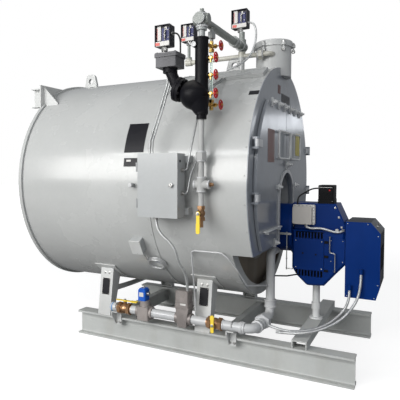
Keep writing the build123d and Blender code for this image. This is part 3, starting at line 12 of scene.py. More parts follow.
import bpy
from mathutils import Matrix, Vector


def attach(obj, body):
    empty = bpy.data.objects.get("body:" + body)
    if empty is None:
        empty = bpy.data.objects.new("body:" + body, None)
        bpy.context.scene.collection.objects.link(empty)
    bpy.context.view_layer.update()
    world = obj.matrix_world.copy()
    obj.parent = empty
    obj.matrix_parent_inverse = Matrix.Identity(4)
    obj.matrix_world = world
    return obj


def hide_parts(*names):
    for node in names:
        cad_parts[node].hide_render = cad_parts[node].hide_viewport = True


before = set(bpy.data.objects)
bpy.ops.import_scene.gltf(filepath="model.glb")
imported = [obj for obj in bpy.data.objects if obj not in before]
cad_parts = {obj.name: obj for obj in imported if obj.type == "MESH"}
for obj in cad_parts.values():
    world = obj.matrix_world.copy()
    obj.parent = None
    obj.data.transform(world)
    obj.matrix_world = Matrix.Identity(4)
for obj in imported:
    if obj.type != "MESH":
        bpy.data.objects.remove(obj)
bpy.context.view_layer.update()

Point = Sequence[float]
Colour = tuple[float, float, float]
Outline = list[tuple[float, float]]

LOG = logging.getLogger("boiler")
METRE = 0.001
MIX_INPUTS = (0, 6, 7)
MIX_OUTPUT = 2
FIXED = "boiler"
SHELL_AXIS = Vector((0.0, 0.0, 1174.0))
SHELL_RADIUS = 805.0
ALONG = Vector((1.0, 0.0, 0.0))
ACROSS = Vector((0.0, 1.0, 0.0))
UP = Vector((0.0, 0.0, 1.0))
NEAR = Vector((0.0, -1.0, 0.0))


class Slot(Enum):
    """Names of material slots, given with each added piece; this script does not assign them."""

    GREY = "grey_paint"
    IRON = "black_iron"
    BRASS = "brass"
    CASTING = "grey_casting"
    STEEL = "steel"
    CASE = "control_case"
    BEIGE = "beige_case"
    FLEX = "cord_steel"
    CABLE = "cord_black"


class Graph:
    """A node tree with short ways to add and join nodes."""

    def __init__(self, tree: bpy.types.NodeTree) -> None:
        """Wrap a tree.

        Args:
            tree: the tree that the nodes go into.
        """
        self.tree = tree

    def add(self, kind: str, settings: dict | None = None, **inputs: object) -> bpy.types.Node:
        """Add a node, set its properties and its inputs.

        Args:
            kind: the node's type name.
            settings: properties of the node.
            inputs: input sockets by name, with a value or a socket to join; spaces are underscores.

        Returns:
            The new node.
        """
        node = self.tree.nodes.new(kind)
        for key, value in (settings or {}).items():
            setattr(node, key, value)
        for key, value in inputs.items():
            socket = self.find(node, key)
            if isinstance(value, bpy.types.NodeSocket):
                self.tree.links.new(value, socket)
            else:
                socket.default_value = value
        return node

    def find(self, node: bpy.types.Node, key: str) -> bpy.types.NodeSocket:
        """An enabled input socket by its name, or by its place when the key is like in0.

        Args:
            node: the node that has the socket.
            key: the socket's name with underscores for spaces, or in and its number.

        Returns:
            The input socket.
        """
        if key.startswith("in") and key[2:].isdigit():
            return node.inputs[int(key[2:])]
        wanted = key.replace("_", " ")
        for socket in node.inputs:
            if socket.name == wanted and socket.enabled:
                return socket
        return node.inputs[wanted]

    def math(self, operation: str, first: object, second: object = 0.5, clamp: bool = False) -> bpy.types.NodeSocket:
        """The value of a maths node.

        Args:
            operation: the node's operation.
            first: a number or socket.
            second: a number or socket.
            clamp: whether the value is kept between 0 and 1.

        Returns:
            The value's socket.
        """
        node = self.add("ShaderNodeMath", {"operation": operation, "use_clamp": clamp}, in0=first, in1=second)
        return node.outputs[0]

    def mix(self, factor: object, low: object, high: object) -> bpy.types.NodeSocket:
        """The colour between two others.

        Args:
            factor: a number or socket, 0 for the first colour and 1 for the second.
            low: the first colour, or a socket.
            high: the second colour, or a socket.

        Returns:
            The colour's socket.
        """
        node = self.add("ShaderNodeMix", {"data_type": "RGBA"})
        for place, value in zip(MIX_INPUTS, (factor, low, high)):
            if isinstance(value, bpy.types.NodeSocket):
                self.tree.links.new(value, node.inputs[place])
            else:
                node.inputs[place].default_value = value if place == MIX_INPUTS[0] else (*value[:3], 1.0)
        return node.outputs[MIX_OUTPUT]

    def spread(self, value: bpy.types.NodeSocket, low: object, high: object, to_low: float = 0.0,
               to_high: float = 1.0) -> bpy.types.NodeSocket:
        """Map a value's range onto another one, clamped.

        Args:
            value: the socket to map.
            low: where its range starts.
            high: where its range ends.
            to_low: what the start becomes.
            to_high: what the end becomes.

        Returns:
            The mapped value's socket.
        """
        node = self.add("ShaderNodeMapRange", {"clamp": True}, Value=value, From_Min=low, From_Max=high,
                        To_Min=to_low, To_Max=to_high)
        return node.outputs[0]

    def here(self) -> bpy.types.NodeSocket:
        """The object's own coordinates."""
        return self.add("ShaderNodeTexCoord").outputs["Object"]

    def noise(self, place: bpy.types.NodeSocket, scale: object, detail: float,
              **more: object) -> bpy.types.NodeSocket:
        """The value of a noise over given coordinates.

        Args:
            place: the coordinates.
            scale: the noise's scale, a number or socket.
            detail: its detail.
            more: other inputs of the noise by name.

        Returns:
            The value's socket.
        """
        return self.add("ShaderNodeTexNoise", Vector=place, Scale=scale, Detail=detail, **more).outputs[0]


class Effects:
    """The shared node groups, each built once: mottle, wear, dust, streaks, peel, cast grain and zone."""

    built: dict[str, bpy.types.NodeTree] = {}

    @classmethod
    def open(cls, name: str, inputs: dict[str, object], outputs: dict[str, str]) -> tuple[Graph, bpy.types.Node]:
        """Start a group with named sockets.

        Args:
            name: the group's name.
            inputs: default values by socket name; a triple makes a vector socket.
            outputs: socket types by socket name.

        Returns:
            The group's graph and its input node.
        """
        tree = bpy.data.node_groups.new(name, "ShaderNodeTree")
        for key, value in inputs.items():
            kind = "NodeSocketVector" if isinstance(value, tuple) else "NodeSocketFloat"
            socket = tree.interface.new_socket(key, in_out="INPUT", socket_type=kind)
            socket.default_value = value
        for key, kind in outputs.items():
            tree.interface.new_socket(key, in_out="OUTPUT", socket_type=kind)
        cls.built[name] = tree
        graph = Graph(tree)
        return graph, graph.add("NodeGroupInput")

    @classmethod
    def mottle(cls) -> bpy.types.NodeTree:
        """Soft patches of a lighter and darker tone.

        Returns:
            The node group.
        """
        if "mottle" not in cls.built:
            graph, given = cls.open("mottle", {"Scale": 4.0, "Low": 0.35, "High": 0.65},
                                    {"Mask": "NodeSocketFloat"})
            noise = graph.noise(graph.here(), given.outputs["Scale"], 5.0, Roughness=0.55)
            mask = graph.spread(noise, given.outputs["Low"], given.outputs["High"])
            graph.add("NodeGroupOutput", Mask=mask)
        return cls.built["mottle"]

    @classmethod
    def wear(cls) -> bpy.types.NodeTree:
        """Rubbed edges, found where a rounded normal leaves the true one.

        Returns:
            The node group.
        """
        if "wear" not in cls.built:
            graph, given = cls.open("wear", {"Width": 0.003, "Scale": 60.0, "Amount": 0.5},
                                    {"Mask": "NodeSocketFloat"})
            rounded = graph.add("ShaderNodeBevel", {"samples": 4}, Radius=given.outputs["Width"])
            true = graph.add("ShaderNodeNewGeometry").outputs["Normal"]
            dot = graph.add("ShaderNodeVectorMath", {"operation": "DOT_PRODUCT"}, in0=rounded.outputs[0], in1=true)
            edge = graph.spread(graph.math("SUBTRACT", 1.0, dot.outputs["Value"]), 0.02, 0.25)
            broken = graph.spread(graph.noise(graph.here(), given.outputs["Scale"], 6.0), 0.4, 0.62)
            mask = graph.math("MULTIPLY", graph.math("MULTIPLY", edge, broken), given.outputs["Amount"], True)
            graph.add("NodeGroupOutput", Mask=mask)
        return cls.built["wear"]

    @classmethod
    def dust(cls) -> bpy.types.NodeTree:
        """Dust that lies on faces turned upwards.

        Returns:
            The node group.
        """
        if "dust" not in cls.built:
            graph, given = cls.open("dust", {"Scale": 12.0, "Amount": 0.3}, {"Mask": "NodeSocketFloat"})
            normal = graph.add("ShaderNodeNewGeometry").outputs["Normal"]
            upward = graph.add("ShaderNodeSeparateXYZ", Vector=normal).outputs["Z"]
            facing = graph.spread(upward, 0.3, 1.0)
            patches = graph.spread(graph.noise(graph.here(), given.outputs["Scale"], 6.0), 0.3, 0.75)
            mask = graph.math("MULTIPLY", graph.math("MULTIPLY", facing, patches), given.outputs["Amount"], True)
            graph.add("NodeGroupOutput", Mask=mask)
        return cls.built["dust"]

    @classmethod
    def streaks(cls) -> bpy.types.NodeTree:
        """Faint marks that run down a surface.

        Returns:
            The node group.
        """
        if "streaks" not in cls.built:
            graph, given = cls.open("streaks", {"Scale": 9.0, "Amount": 0.3}, {"Mask": "NodeSocketFloat"})
            drawn = graph.add("ShaderNodeMapping", Vector=graph.here(), Scale=(1.0, 1.0, 0.09)).outputs[0]
            lines = graph.spread(graph.noise(drawn, given.outputs["Scale"], 4.0), 0.52, 0.75)
            graph.add("NodeGroupOutput", Mask=graph.math("MULTIPLY", lines, given.outputs["Amount"], True))
        return cls.built["streaks"]

    @classmethod
    def peel(cls) -> bpy.types.NodeTree:
        """The slight waviness of sprayed enamel, as a height.

        Returns:
            The node group.
        """
        if "peel" not in cls.built:
            graph, given = cls.open("peel", {"Scale": 180.0, "Wave": 3.0, "Sag": 0.5}, {"Height": "NodeSocketFloat"})
            place = graph.here()
            fine = graph.noise(place, given.outputs["Scale"], 2.0)
            slow = graph.noise(place, given.outputs["Wave"], 1.0)
            height = graph.math("ADD", graph.math("MULTIPLY", fine, 0.12),
                                graph.math("MULTIPLY", slow, given.outputs["Sag"]))
            graph.add("NodeGroupOutput", Height=height)
        return cls.built["peel"]

    @classmethod
    def grain(cls) -> bpy.types.NodeTree:
        """The sandy skin of a casting, as a height and a mask.

        Returns:
            The node group.
        """
        if "grain" not in cls.built:
            graph, given = cls.open("grain", {"Scale": 260.0},
                                    {"Height": "NodeSocketFloat", "Mask": "NodeSocketFloat"})
            place = graph.here()
            noise = graph.noise(place, given.outputs["Scale"], 5.0)
            pits = graph.add("ShaderNodeTexVoronoi", Vector=place, Scale=given.outputs["Scale"])
            height = graph.math("ADD", noise, graph.math("MULTIPLY", pits.outputs[0], 0.6))
            graph.add("NodeGroupOutput", Height=height, Mask=graph.spread(noise, 0.42, 0.62))
        return cls.built["grain"]

    @classmethod
    def zone(cls) -> bpy.types.NodeTree:
        """A mask that is 1 inside a box given by its low and high corners, in metres.

        Returns:
            The node group.
        """
        if "zone" not in cls.built:
            graph, given = cls.open("zone", {"Low": (0.0, 0.0, 0.0), "High": (1.0, 1.0, 1.0)},
                                    {"Mask": "NodeSocketFloat"})
            here = graph.add("ShaderNodeSeparateXYZ", Vector=graph.here())
            low = graph.add("ShaderNodeSeparateXYZ", Vector=given.outputs["Low"])
            high = graph.add("ShaderNodeSeparateXYZ", Vector=given.outputs["High"])
            mask: object = 1.0
            for letter in "XYZ":
                above = graph.math("GREATER_THAN", here.outputs[letter], low.outputs[letter])
                below = graph.math("LESS_THAN", here.outputs[letter], high.outputs[letter])
                mask = graph.math("MULTIPLY", mask, graph.math("MULTIPLY", above, below))
            graph.add("NodeGroupOutput", Mask=mask)
        return cls.built["zone"]


@dataclass(frozen=True)
class Zone:
    """A box of the object, in millimetres, that takes another colour, used both for tones of the part's own and for
    painted shade.
    """

    low: Point
    high: Point
    colour: Colour


@dataclass(frozen=True)
class Finish:
    """What all finishes share: a name, a colour and a way to make the Blender material once."""

    name: str
    colour: Colour
    roughness: float = 0.4
    gloss: float = 0.5

    def graph(self) -> tuple[bpy.types.Material, Graph, bpy.types.Node]:
        """A new material with its graph and its surface shader.

        Returns:
            The material, its graph and its Principled shader.
        """
        material = bpy.data.materials.new(self.name)
        material.use_nodes = True
        surface = material.node_tree.nodes["Principled BSDF"]
        surface.inputs["Specular IOR Level"].default_value = self.gloss
        return material, Graph(material.node_tree), surface

    def group(self, graph: Graph, tree: bpy.types.NodeTree, output: str, **inputs: object) -> bpy.types.NodeSocket:
        """Place a shared group.

        Args:
            graph: the material's graph.
            tree: the shared group.
            output: the name of the output that is wanted.
            inputs: the group's inputs by name.

        Returns:
            The output's socket.
        """
        node = graph.add("ShaderNodeGroup", {"node_tree": tree}, **inputs)
        return node.outputs[output]

    def shade(self, share: float) -> Colour:
        """The colour made lighter or darker by a factor."""
        return tuple(min(1.0, channel * share) for channel in self.colour)

    def bump(self, graph: Graph, surface: bpy.types.Node, height: bpy.types.NodeSocket, strength: float,
             depth: float) -> None:
        """Join a height to the surface's normal.

        Args:
            graph: the material's graph.
            surface: its Principled shader.
            height: the height's socket.
            strength: the bump's strength.
            depth: its distance in metres.
        """
        bump = graph.add("ShaderNodeBump", Strength=strength, Distance=depth, Height=height)
        self.join(graph, surface, Normal=bump.outputs[0])

    def join(self, graph: Graph, surface: bpy.types.Node, **sockets: bpy.types.NodeSocket) -> None:
        """Join sockets to the surface's inputs.

        Args:
            graph: the material's graph.
            surface: its Principled shader.
            sockets: what to join, by the input's name with underscores for spaces.
        """
        for key, socket in sockets.items():
            graph.tree.links.new(socket, surface.inputs[key.replace("_", " ")])

    def dress(self, graph: Graph, surface: bpy.types.Node) -> None:
        """Fill the graph; each kind of finish has its own."""

    def material(self) -> bpy.types.Material:
        """The material, made on first use.

        Returns:
            The finish's material.
        """
        found = bpy.data.materials.get(self.name)
        if found is not None:
            return found
        material, graph, surface = self.graph()
        self.dress(graph, surface)
        return material


@dataclass(frozen=True)
class Enamel(Finish):
    """Sprayed machine enamel over steel, with handling marks, dust and rubbed edges."""

    bare: Colour = (0.30, 0.30, 0.29)
    grime: Colour = (0.30, 0.28, 0.24)
    coat: float = 0.25
    contrast: float = 0.10
    patch: float = 2.2
    wear: float = 0.45
    streak: float = 0.25
    dust: float = 0.25
    sag: float = 0.5
    zones: tuple[Zone, ...] = ()
    settled: Colour = (0.52, 0.50, 0.46)
    speck_share: float = 0.14
    edge_width: float = 0.0025
    coat_roughness: float = 0.12
    wave_depth: float = 0.004

    def dress(self, graph: Graph, surface: bpy.types.Node) -> None:
        """Lay tone, zones, streaks, dust and wear over each other, and a waviness under them.

        Args:
            graph: the material's graph.
            surface: its Principled shader.
        """
        patches = self.group(graph, Effects.mottle(), "Mask", Scale=self.patch, Low=0.32, High=0.68)
        specks = self.group(graph, Effects.mottle(), "Mask", Scale=46.0, Low=0.30, High=0.72)
        colour = graph.mix(patches, self.shade(1 - self.contrast), self.shade(1 + self.contrast))
        for zone in self.zones:
            inside = self.group(graph, Effects.zone(), "Mask", Low=Vector(zone.low) * METRE,
                                High=Vector(zone.high) * METRE)
            colour = graph.mix(inside, colour, zone.colour)
        colour = graph.mix(graph.math("MULTIPLY", specks, self.speck_share), colour, self.shade(0.72))
        runs = self.group(graph, Effects.streaks(), "Mask", Scale=7.0, Amount=self.streak)
        colour = graph.mix(runs, colour, self.grime)
        lying = self.group(graph, Effects.dust(), "Mask", Scale=9.0, Amount=self.dust)
        colour = graph.mix(lying, colour, self.settled)
        rubbed = self.group(graph, Effects.wear(), "Mask", Width=self.edge_width, Scale=70.0, Amount=self.wear)
        colour = graph.mix(rubbed, colour, self.bare)
        rough = graph.spread(patches, 0.0, 1.0, self.roughness - 0.05, self.roughness + 0.07)
        rough = graph.math("ADD", rough, graph.math("MULTIPLY", lying, 0.5), True)
        self.join(graph, surface, Base_Color=colour, Roughness=rough)
        surface.inputs["Coat Weight"].default_value = self.coat
        surface.inputs["Coat Roughness"].default_value = self.coat_roughness
        height = self.group(graph, Effects.peel(), "Height", Scale=190.0, Wave=3.2, Sag=self.sag)
        self.bump(graph, surface, height, 0.22, self.wave_depth)


@dataclass(frozen=True)
class Casting(Finish):
    """A painted or bare casting with a sandy skin."""

    skin: float = 260.0
    depth: float = 0.0012
    rub_and_edge_highlight: Colour = (0.20, 0.20, 0.20)
    metallic: float = 0.0
    settled: Colour = (0.36, 0.34, 0.31)
    edge_width: float = 0.002

    def dress(self, graph: Graph, surface: bpy.types.Node) -> None:
        """Sand grain, dull patches, dust, and lighter edges that are rubbed wear and, on dark castings, a painted
        edge highlight too.

        Args:
            graph: the material's graph.
            surface: its Principled shader.
        """
        patches = self.group(graph, Effects.mottle(), "Mask", Scale=9.0, Low=0.35, High=0.66)
        speck = self.group(graph, Effects.grain(), "Mask", Scale=self.skin)
        colour = graph.mix(patches, self.shade(0.78), self.shade(1.25))
        colour = graph.mix(graph.math("MULTIPLY", speck, 0.25), colour, self.shade(1.7))
        lying = self.group(graph, Effects.dust(), "Mask", Scale=16.0, Amount=0.22)
        colour = graph.mix(lying, colour, self.settled)
        # Edges move towards the rub colour: rubbed wear, and on the dark castings a painted edge highlight as well.
        rubbed = self.group(graph, Effects.wear(), "Mask", Width=self.edge_width, Scale=90.0, Amount=0.5)
        colour = graph.mix(rubbed, colour, self.rub_and_edge_highlight)
        surface.inputs["Metallic"].default_value = self.metallic
        rough = graph.spread(patches, 0.0, 1.0, self.roughness - 0.06, self.roughness + 0.1)
        self.join(graph, surface, Base_Color=colour, Roughness=rough)
        height = self.group(graph, Effects.grain(), "Height", Scale=self.skin)
        self.bump(graph, surface, height, 0.5, self.depth)


@dataclass(frozen=True)
class Metal(Finish):
    """Bare or plated metal with tarnish and fine tool marks."""

    tarnish: Colour = (0.25, 0.16, 0.07)
    dullness: float = 0.35
    marks: float = 420.0
    mark_depth: float = 0.0005
    edge_width: float = 0.0015

    def dress(self, graph: Graph, surface: bpy.types.Node) -> None:
        """Tarnish in patches, brightness on the edges and fine marks.

        Args:
            graph: the material's graph.
            surface: its Principled shader.
        """
        patches = self.group(graph, Effects.mottle(), "Mask", Scale=22.0, Low=0.40, High=0.70)
        colour = graph.mix(graph.math("MULTIPLY", patches, self.dullness), self.colour, self.tarnish)
        rubbed = self.group(graph, Effects.wear(), "Mask", Width=self.edge_width, Scale=120.0, Amount=0.6)
        colour = graph.mix(rubbed, colour, self.shade(1.35))
        surface.inputs["Metallic"].default_value = 1.0
        rough = graph.spread(patches, 0.0, 1.0, self.roughness, self.roughness + 0.22)
        self.join(graph, surface, Base_Color=colour, Roughness=rough)
        height = self.group(graph, Effects.grain(), "Height", Scale=self.marks)
        self.bump(graph, surface, height, 0.18, self.mark_depth)


@dataclass(frozen=True)
class Plastic(Finish):
    """Moulded or dipped plastic with a fine texture."""

    texture: float = 500.0
    contrast: float = 0.10
    texture_depth: float = 0.0004
    edge_width: float = 0.0015

    def dress(self, graph: Graph, surface: bpy.types.Node) -> None:
        """Slight tone, scuffs on edges and a fine moulded texture.

        Args:
            graph: the material's graph.
            surface: its Principled shader.
        """
        patches = self.group(graph, Effects.mottle(), "Mask", Scale=30.0, Low=0.3, High=0.7)
        colour = graph.mix(patches, self.shade(1 - self.contrast), self.shade(1 + self.contrast))
        rubbed = self.group(graph, Effects.wear(), "Mask", Width=self.edge_width, Scale=110.0, Amount=0.25)
        colour = graph.mix(rubbed, colour, self.shade(0.6))
        rough = graph.spread(patches, 0.0, 1.0, self.roughness - 0.04, self.roughness + 0.08)
        self.join(graph, surface, Base_Color=colour, Roughness=rough)
        height = self.group(graph, Effects.grain(), "Height", Scale=self.texture)
        self.bump(graph, surface, height, 0.12, self.texture_depth)


@dataclass(frozen=True)
class Glass(Finish):
    """Clear glass."""

    index: float = 1.46

    def dress(self, graph: Graph, surface: bpy.types.Node) -> None:
        """Clear, with faint smears in its roughness.

        Args:
            graph: the material's graph.
            surface: its Principled shader.
        """
        surface.inputs["Base Color"].default_value = (*self.colour, 1.0)
        surface.inputs["Transmission Weight"].default_value = 1.0
        surface.inputs["IOR"].default_value = self.index
        smears = self.group(graph, Effects.mottle(), "Mask", Scale=35.0, Low=0.4, High=0.8)
        self.join(graph, surface, Roughness=graph.spread(smears, 0.0, 1.0, 0.02, 0.12))


GREY = Enamel("grey_enamel", (0.44, 0.45, 0.445), 0.24, streak=0.04, dust=0.10, wear=0.2, contrast=0.04)
RAIL_GREY = Enamel("rail_enamel", (0.46, 0.475, 0.465), 0.48, coat=0.08, streak=0.22, dust=0.3, wear=0.7)
LEG_GREY = Enamel("leg_enamel", (0.53, 0.54, 0.535), 0.42, streak=0.25, dust=0.25)
# Darker, bluer grey for the smokebox frame and doors, also used on the rear door: a tone of their own with the
# front's shade partly painted in.
FRONT_GREY_AND_SHADE = Enamel("front_enamel_and_shade", (0.25, 0.27, 0.30), 0.20, streak=0.10, contrast=0.08, patch=3.5, sag=1.1,
                    coat=0.35)
# The doors take this grey with its painted shade; the zone gives the parts proud of the door face, such as clamps and
# hinges, a lighter grey.
DOOR_GREY_AND_SHADE = replace(FRONT_GREY_AND_SHADE, name="door_enamel_and_shade", zones=(
    Zone((462.6, -780, 700), (560, 780, 1900), (0.50, 0.51, 0.525)),))
BOX_GREY = Enamel("box_enamel", (0.37, 0.385, 0.39), 0.42, streak=0.1, contrast=0.05)
PALE_GREY = Enamel("pale_enamel", (0.66, 0.67, 0.67), 0.35, streak=0.05, dust=0.1)
DRAIN_GREY = Enamel("drain_enamel", (0.40, 0.405, 0.40), 0.55, gloss=0.25, coat=0.0, streak=0.12, dust=0.2)
PIPE_GREY = Enamel("pipe_enamel", (0.50, 0.51, 0.52), 0.32, streak=0.15, dust=0.25)
STEAM_GREY = Enamel("steam_pipe_enamel", (0.22, 0.24, 0.225), 0.36, streak=0.15, dust=0.2, zones=(
    Zone((-300, -190, 2030), (420, 0, 2097), (0.50, 0.49, 0.43)),
    Zone((100, -190, 1900), (260, -120, 2060), (0.44, 0.45, 0.45)),
    Zone((100, -900, 2000), (260, -700, 2106), (0.32, 0.34, 0.34))))
TUBESHEET_GREY = Enamel("tubesheet_enamel", (0.20, 0.165, 0.125), 0.75, coat=0.0, streak=0.4, dust=0.4, zones=(
    Zone((239.6, -260, 600), (275, 260, 1110), (0.36, 0.36, 0.34)),
    Zone((300, -900, 300), (330, 900, 2100), (0.42, 0.43, 0.43))))
BLUE = Enamel("burner_blue", (0.0004, 0.024, 0.155), 0.36, gloss=0.10, bare=(0.06, 0.08, 0.14),
              grime=(0.002, 0.01, 0.05), coat=0.0, wear=0.22, dust=0.004, streak=0.10)
BLUE_DARK = Enamel("cabinet_edge_black", (0.004, 0.005, 0.007), 0.5, gloss=0.2, bare=(0.07, 0.07, 0.08), coat=0.0,
                   dust=0.02)
RED = Enamel("wheel_red", (0.50, 0.008, 0.012), 0.34, gloss=0.35, bare=(0.20, 0.16, 0.14), coat=0.1, wear=0.3,
             dust=0.03)
BLACK_IRON = Casting("black_casting", (0.006, 0.006, 0.008), 0.42, gloss=0.10)
SWITCH_GREY = Casting("switch_casting", (0.12, 0.12, 0.127), 0.5, gloss=0.2)
WARM_CASTING = Casting("warm_casting", (0.25, 0.225, 0.215), 0.48, skin=340.0, depth=0.0006, metallic=0.35)
BRASS = Metal("plain_brass", (0.74, 0.50, 0.17), 0.24)
BRONZE = Metal("bronze_valve", (0.46, 0.27, 0.15), 0.36, tarnish=(0.14, 0.09, 0.05), dullness=0.6)
STEEL = Metal("plated_steel", (0.50, 0.50, 0.49), 0.32, tarnish=(0.24, 0.23, 0.21), dullness=0.5)
CONDUIT = Metal("conduit_steel", (0.40, 0.41, 0.41), 0.40, tarnish=(0.20, 0.21, 0.22), dullness=0.45)
FLEX = Metal("flex_steel", (0.70, 0.71, 0.71), 0.44, tarnish=(0.30, 0.31, 0.32), dullness=0.45)
YELLOW = Plastic("yellow_grip", (0.74, 0.53, 0.010), 0.42, gloss=0.35)
BLUE_COIL = Plastic("coil_blue", (0.010, 0.10, 0.50), 0.38, gloss=0.35)
TAPE = Plastic("blue_tape", (0.06, 0.24, 0.56), 0.5, contrast=0.2)
BLACK = Plastic("black_moulding", (0.006, 0.006, 0.007), 0.45, gloss=0.10)
DARK_PLATE = Plastic("bare_black_plate", (0.007, 0.007, 0.010), 0.4, gloss=0.25)
RED_PLATE = Plastic("bare_red_plate", (0.20, 0.11, 0.10), 0.4, contrast=0.18)
OXIDE_PLATE = Plastic("bare_oxide_plate", (0.10, 0.020, 0.016), 0.4, contrast=0.14)
YELLOW_PLATE = Plastic("bare_yellow_plate", (0.50, 0.42, 0.03), 0.4, contrast=0.14)
PALE = Plastic("pale_moulding", (0.58, 0.57, 0.55), 0.45)
BEIGE = Enamel("beige_enamel", (0.50, 0.475, 0.445), 0.40, streak=0.1, dust=0.12)
CASE_DARK = Plastic("control_case_dark", (0.016, 0.016, 0.024), 0.42, gloss=0.3)
CASE_BLUE = Plastic("control_works_blue", (0.035, 0.04, 0.13), 0.45, gloss=0.3)
RUST_RED = Plastic("control_scale_red", (0.62, 0.10, 0.08), 0.45)
CABLE = Plastic("black_cable", (0.014, 0.014, 0.014), 0.5, gloss=0.3)

GAUGE_CLEAR = Glass("gauge_clear", (0.80, 0.95, 0.88), 0.05)


class Former:
    """Collects the faces of one piece, in millimetres, then makes it an object."""

    def __init__(self) -> None:
        """Start with no faces."""
        self.points: list[Vector] = []
        self.faces: list[tuple[int, ...]] = []
        self.marks: list[int] = []
        self.finishes: list[Finish] = []
        self.current = 0

    def use(self, finish: Finish) -> "Former":
        """Take a finish for the faces that come next.

        Args:
            finish: the finish.

        Returns:
            This former.
        """
        if finish not in self.finishes:
            self.finishes.append(finish)
        self.current = self.finishes.index(finish)
        return self

    def face(self, indices: Iterable[int]) -> None:
        """Add one face with the finish in use."""
        self.faces.append(tuple(indices))
        self.marks.append(self.current)

    def skin(self, rings: list[list[int]], closed: bool = False) -> None:
        """Join rings of equal length, or single points, one after another.

        Args:
            rings: vertex numbers, ring by ring.
            closed: whether the last ring joins the first.
        """
        pairs = list(zip(rings, rings[1:]))
        if closed:
            pairs.append((rings[-1], rings[0]))
        for low, high in pairs:
            count = max(len(low), len(high))
            for i in range(count):
                j = (i + 1) % count
                if len(low) == 1 and len(high) == 1:
                    continue
                if len(low) == 1:
                    self.face((low[0], high[j], high[i]))
                elif len(high) == 1:
                    self.face((low[i], low[j], high[0]))
                else:
                    self.face((low[i], low[j], high[j], high[i]))

    def ring(self, centre: Vector, u: Vector, v: Vector, outline: Iterable[tuple[float, float]]) -> list[int]:
        """Add the points of an outline in a plane.

        Args:
            centre: the plane's origin.
            u: direction of the outline's first number.
            v: direction of its second number.
            outline: the outline.

        Returns:
            The new points' numbers.
        """
        start = len(self.points)
        self.points.extend(centre + u * a + v * b for a, b in outline)
        return list(range(start, len(self.points)))

    def lathe(self, origin: Point, axis: Point, profile: Sequence[tuple[float, float]], steps: int = 20,
              turn: float = 0.0) -> "Former":
        """Turn a profile about an axis.

        Args:
            origin: where the axis starts.
            axis: its direction.
            profile: distances along the axis with radii; a radius of 0 closes an end.
            steps: sides of the turned piece.
            turn: angle of the first side in degrees.

        Returns:
            This former.
        """
        start = Vector(origin)
        w = Vector(axis).normalized()
        u, v = across_of(w)
        rings = []
        for along, radius in profile:
            if radius <= 0:
                self.points.append(start + w * along)
                rings.append([len(self.points) - 1])
            else:
                rings.append(self.ring(start + w * along, u, v, circle(radius, steps, turn)))
        self.skin(rings)
        return self

    def plate(self, origin: Point, u: Point, v: Point, outline: Outline, depth: float, edge: float = 0.6) -> "Former":
        """A flat piece with softened edges on its raised side.

        Args:
            origin: the outline's origin, on the back face.
            u: direction of the outline's first number.
            v: direction of its second number; the piece rises along u x v.
            outline: corners, counter-clockwise.
            depth: thickness.
            edge: width of the softened edge.

        Returns:
            This former.
        """
        a = Vector(u).normalized()
        b = Vector(v).normalized()
        w = a.cross(b)
        start = Vector(origin)
        inner = inset(outline, edge)
        rings = [self.ring(start, a, b, outline), self.ring(start + w * (depth - edge), a, b, outline),
                 self.ring(start + w * depth, a, b, inner)]
        self.skin(rings)
        self.face(rings[-1])
        self.face(reversed(rings[0]))
        return self

    def tube(self, path: Sequence[Point], radius: float | Callable[[float, float], float], steps: int = 10,
             closed: bool = False, capped: bool = True) -> "Former":
        """A round tube along points.

        Args:
            path: the points of its centreline.
            radius: its radius, or a function of the distance and the angle round it.
            steps: sides of the tube.
            closed: whether the path closes on itself.
            capped: whether open ends are closed.

        Returns:
            This former.
        """
        line = [Vector(p) for p in path]
        rings = []
        gone = 0.0
        side: Vector | None = None
        for i, here in enumerate(line):
            before = line[i - 1] if i > 0 or closed else here
            after = line[(i + 1) % len(line)] if i + 1 < len(line) or closed else here
            w = (after - before).normalized()
            if side is None:
                side = across_of(w)[0]
            side = (side - w * side.dot(w)).normalized()
            other = w.cross(side)
            if i > 0:
                gone += (here - line[i - 1]).length
            found = []
            for k in range(steps):
                angle = 2 * math.pi * k / steps
                r = radius(gone, angle) if callable(radius) else radius
                found.append((r * math.cos(angle), r * math.sin(angle)))
            rings.append(self.ring(here, side, other, found))
        self.skin(rings, closed)
        if capped and not closed:
            self.face(reversed(rings[0]))
            self.face(rings[-1])
        return self

    def bolt(self, origin: Point, axis: Point, flats: float, height: float | None = None, stud: float = 0.0,
             washer: bool = True, turn: float = 0.0) -> "Former":
        """A hexagon head with its washer, or a nut on a stud.

        Args:
            origin: a point on the surface.
            axis: direction away from the surface.
            flats: width across the flats.
            height: height of the head.
            stud: how far a stud stands proud of the nut.
            washer: whether a washer lies under it.
            turn: angle of the hexagon in degrees.

        Returns:
            This former.
        """
        tall = height or flats * 0.42
        start = Vector(origin)
        w = Vector(axis).normalized()
        base = 0.0
        if washer:
            base = flats * 0.1
            wide = flats * 0.78
            self.lathe(start, w, [(0.0, wide), (base * 0.8, wide), (base, flats * 0.72), (base, 0.0)], 16)
        corner = flats / math.sqrt(3)
        self.lathe(start, w, [(base, corner), (base + tall * 0.86, corner), (base + tall, corner * 0.86),
                              (base + tall, 0.0)], 6, turn)
        if stud > 0:
            top = base + tall
            thread = flats * 0.3
            self.lathe(start, w, [(top, thread), (top + stud * 0.85, thread), (top + stud, thread * 0.8),
                                  (top + stud, 0.0)], 10)
        return self

    def screw(self, origin: Point, axis: Point, radius: float) -> "Former":
        """A pan-headed screw with a shallow dome."""
        return self.lathe(origin, axis, [(0.0, radius), (radius * 0.35, radius), (radius * 0.65, radius * 0.75),
                                         (radius * 0.75, radius * 0.35), (radius * 0.62, 0.0)], 12)

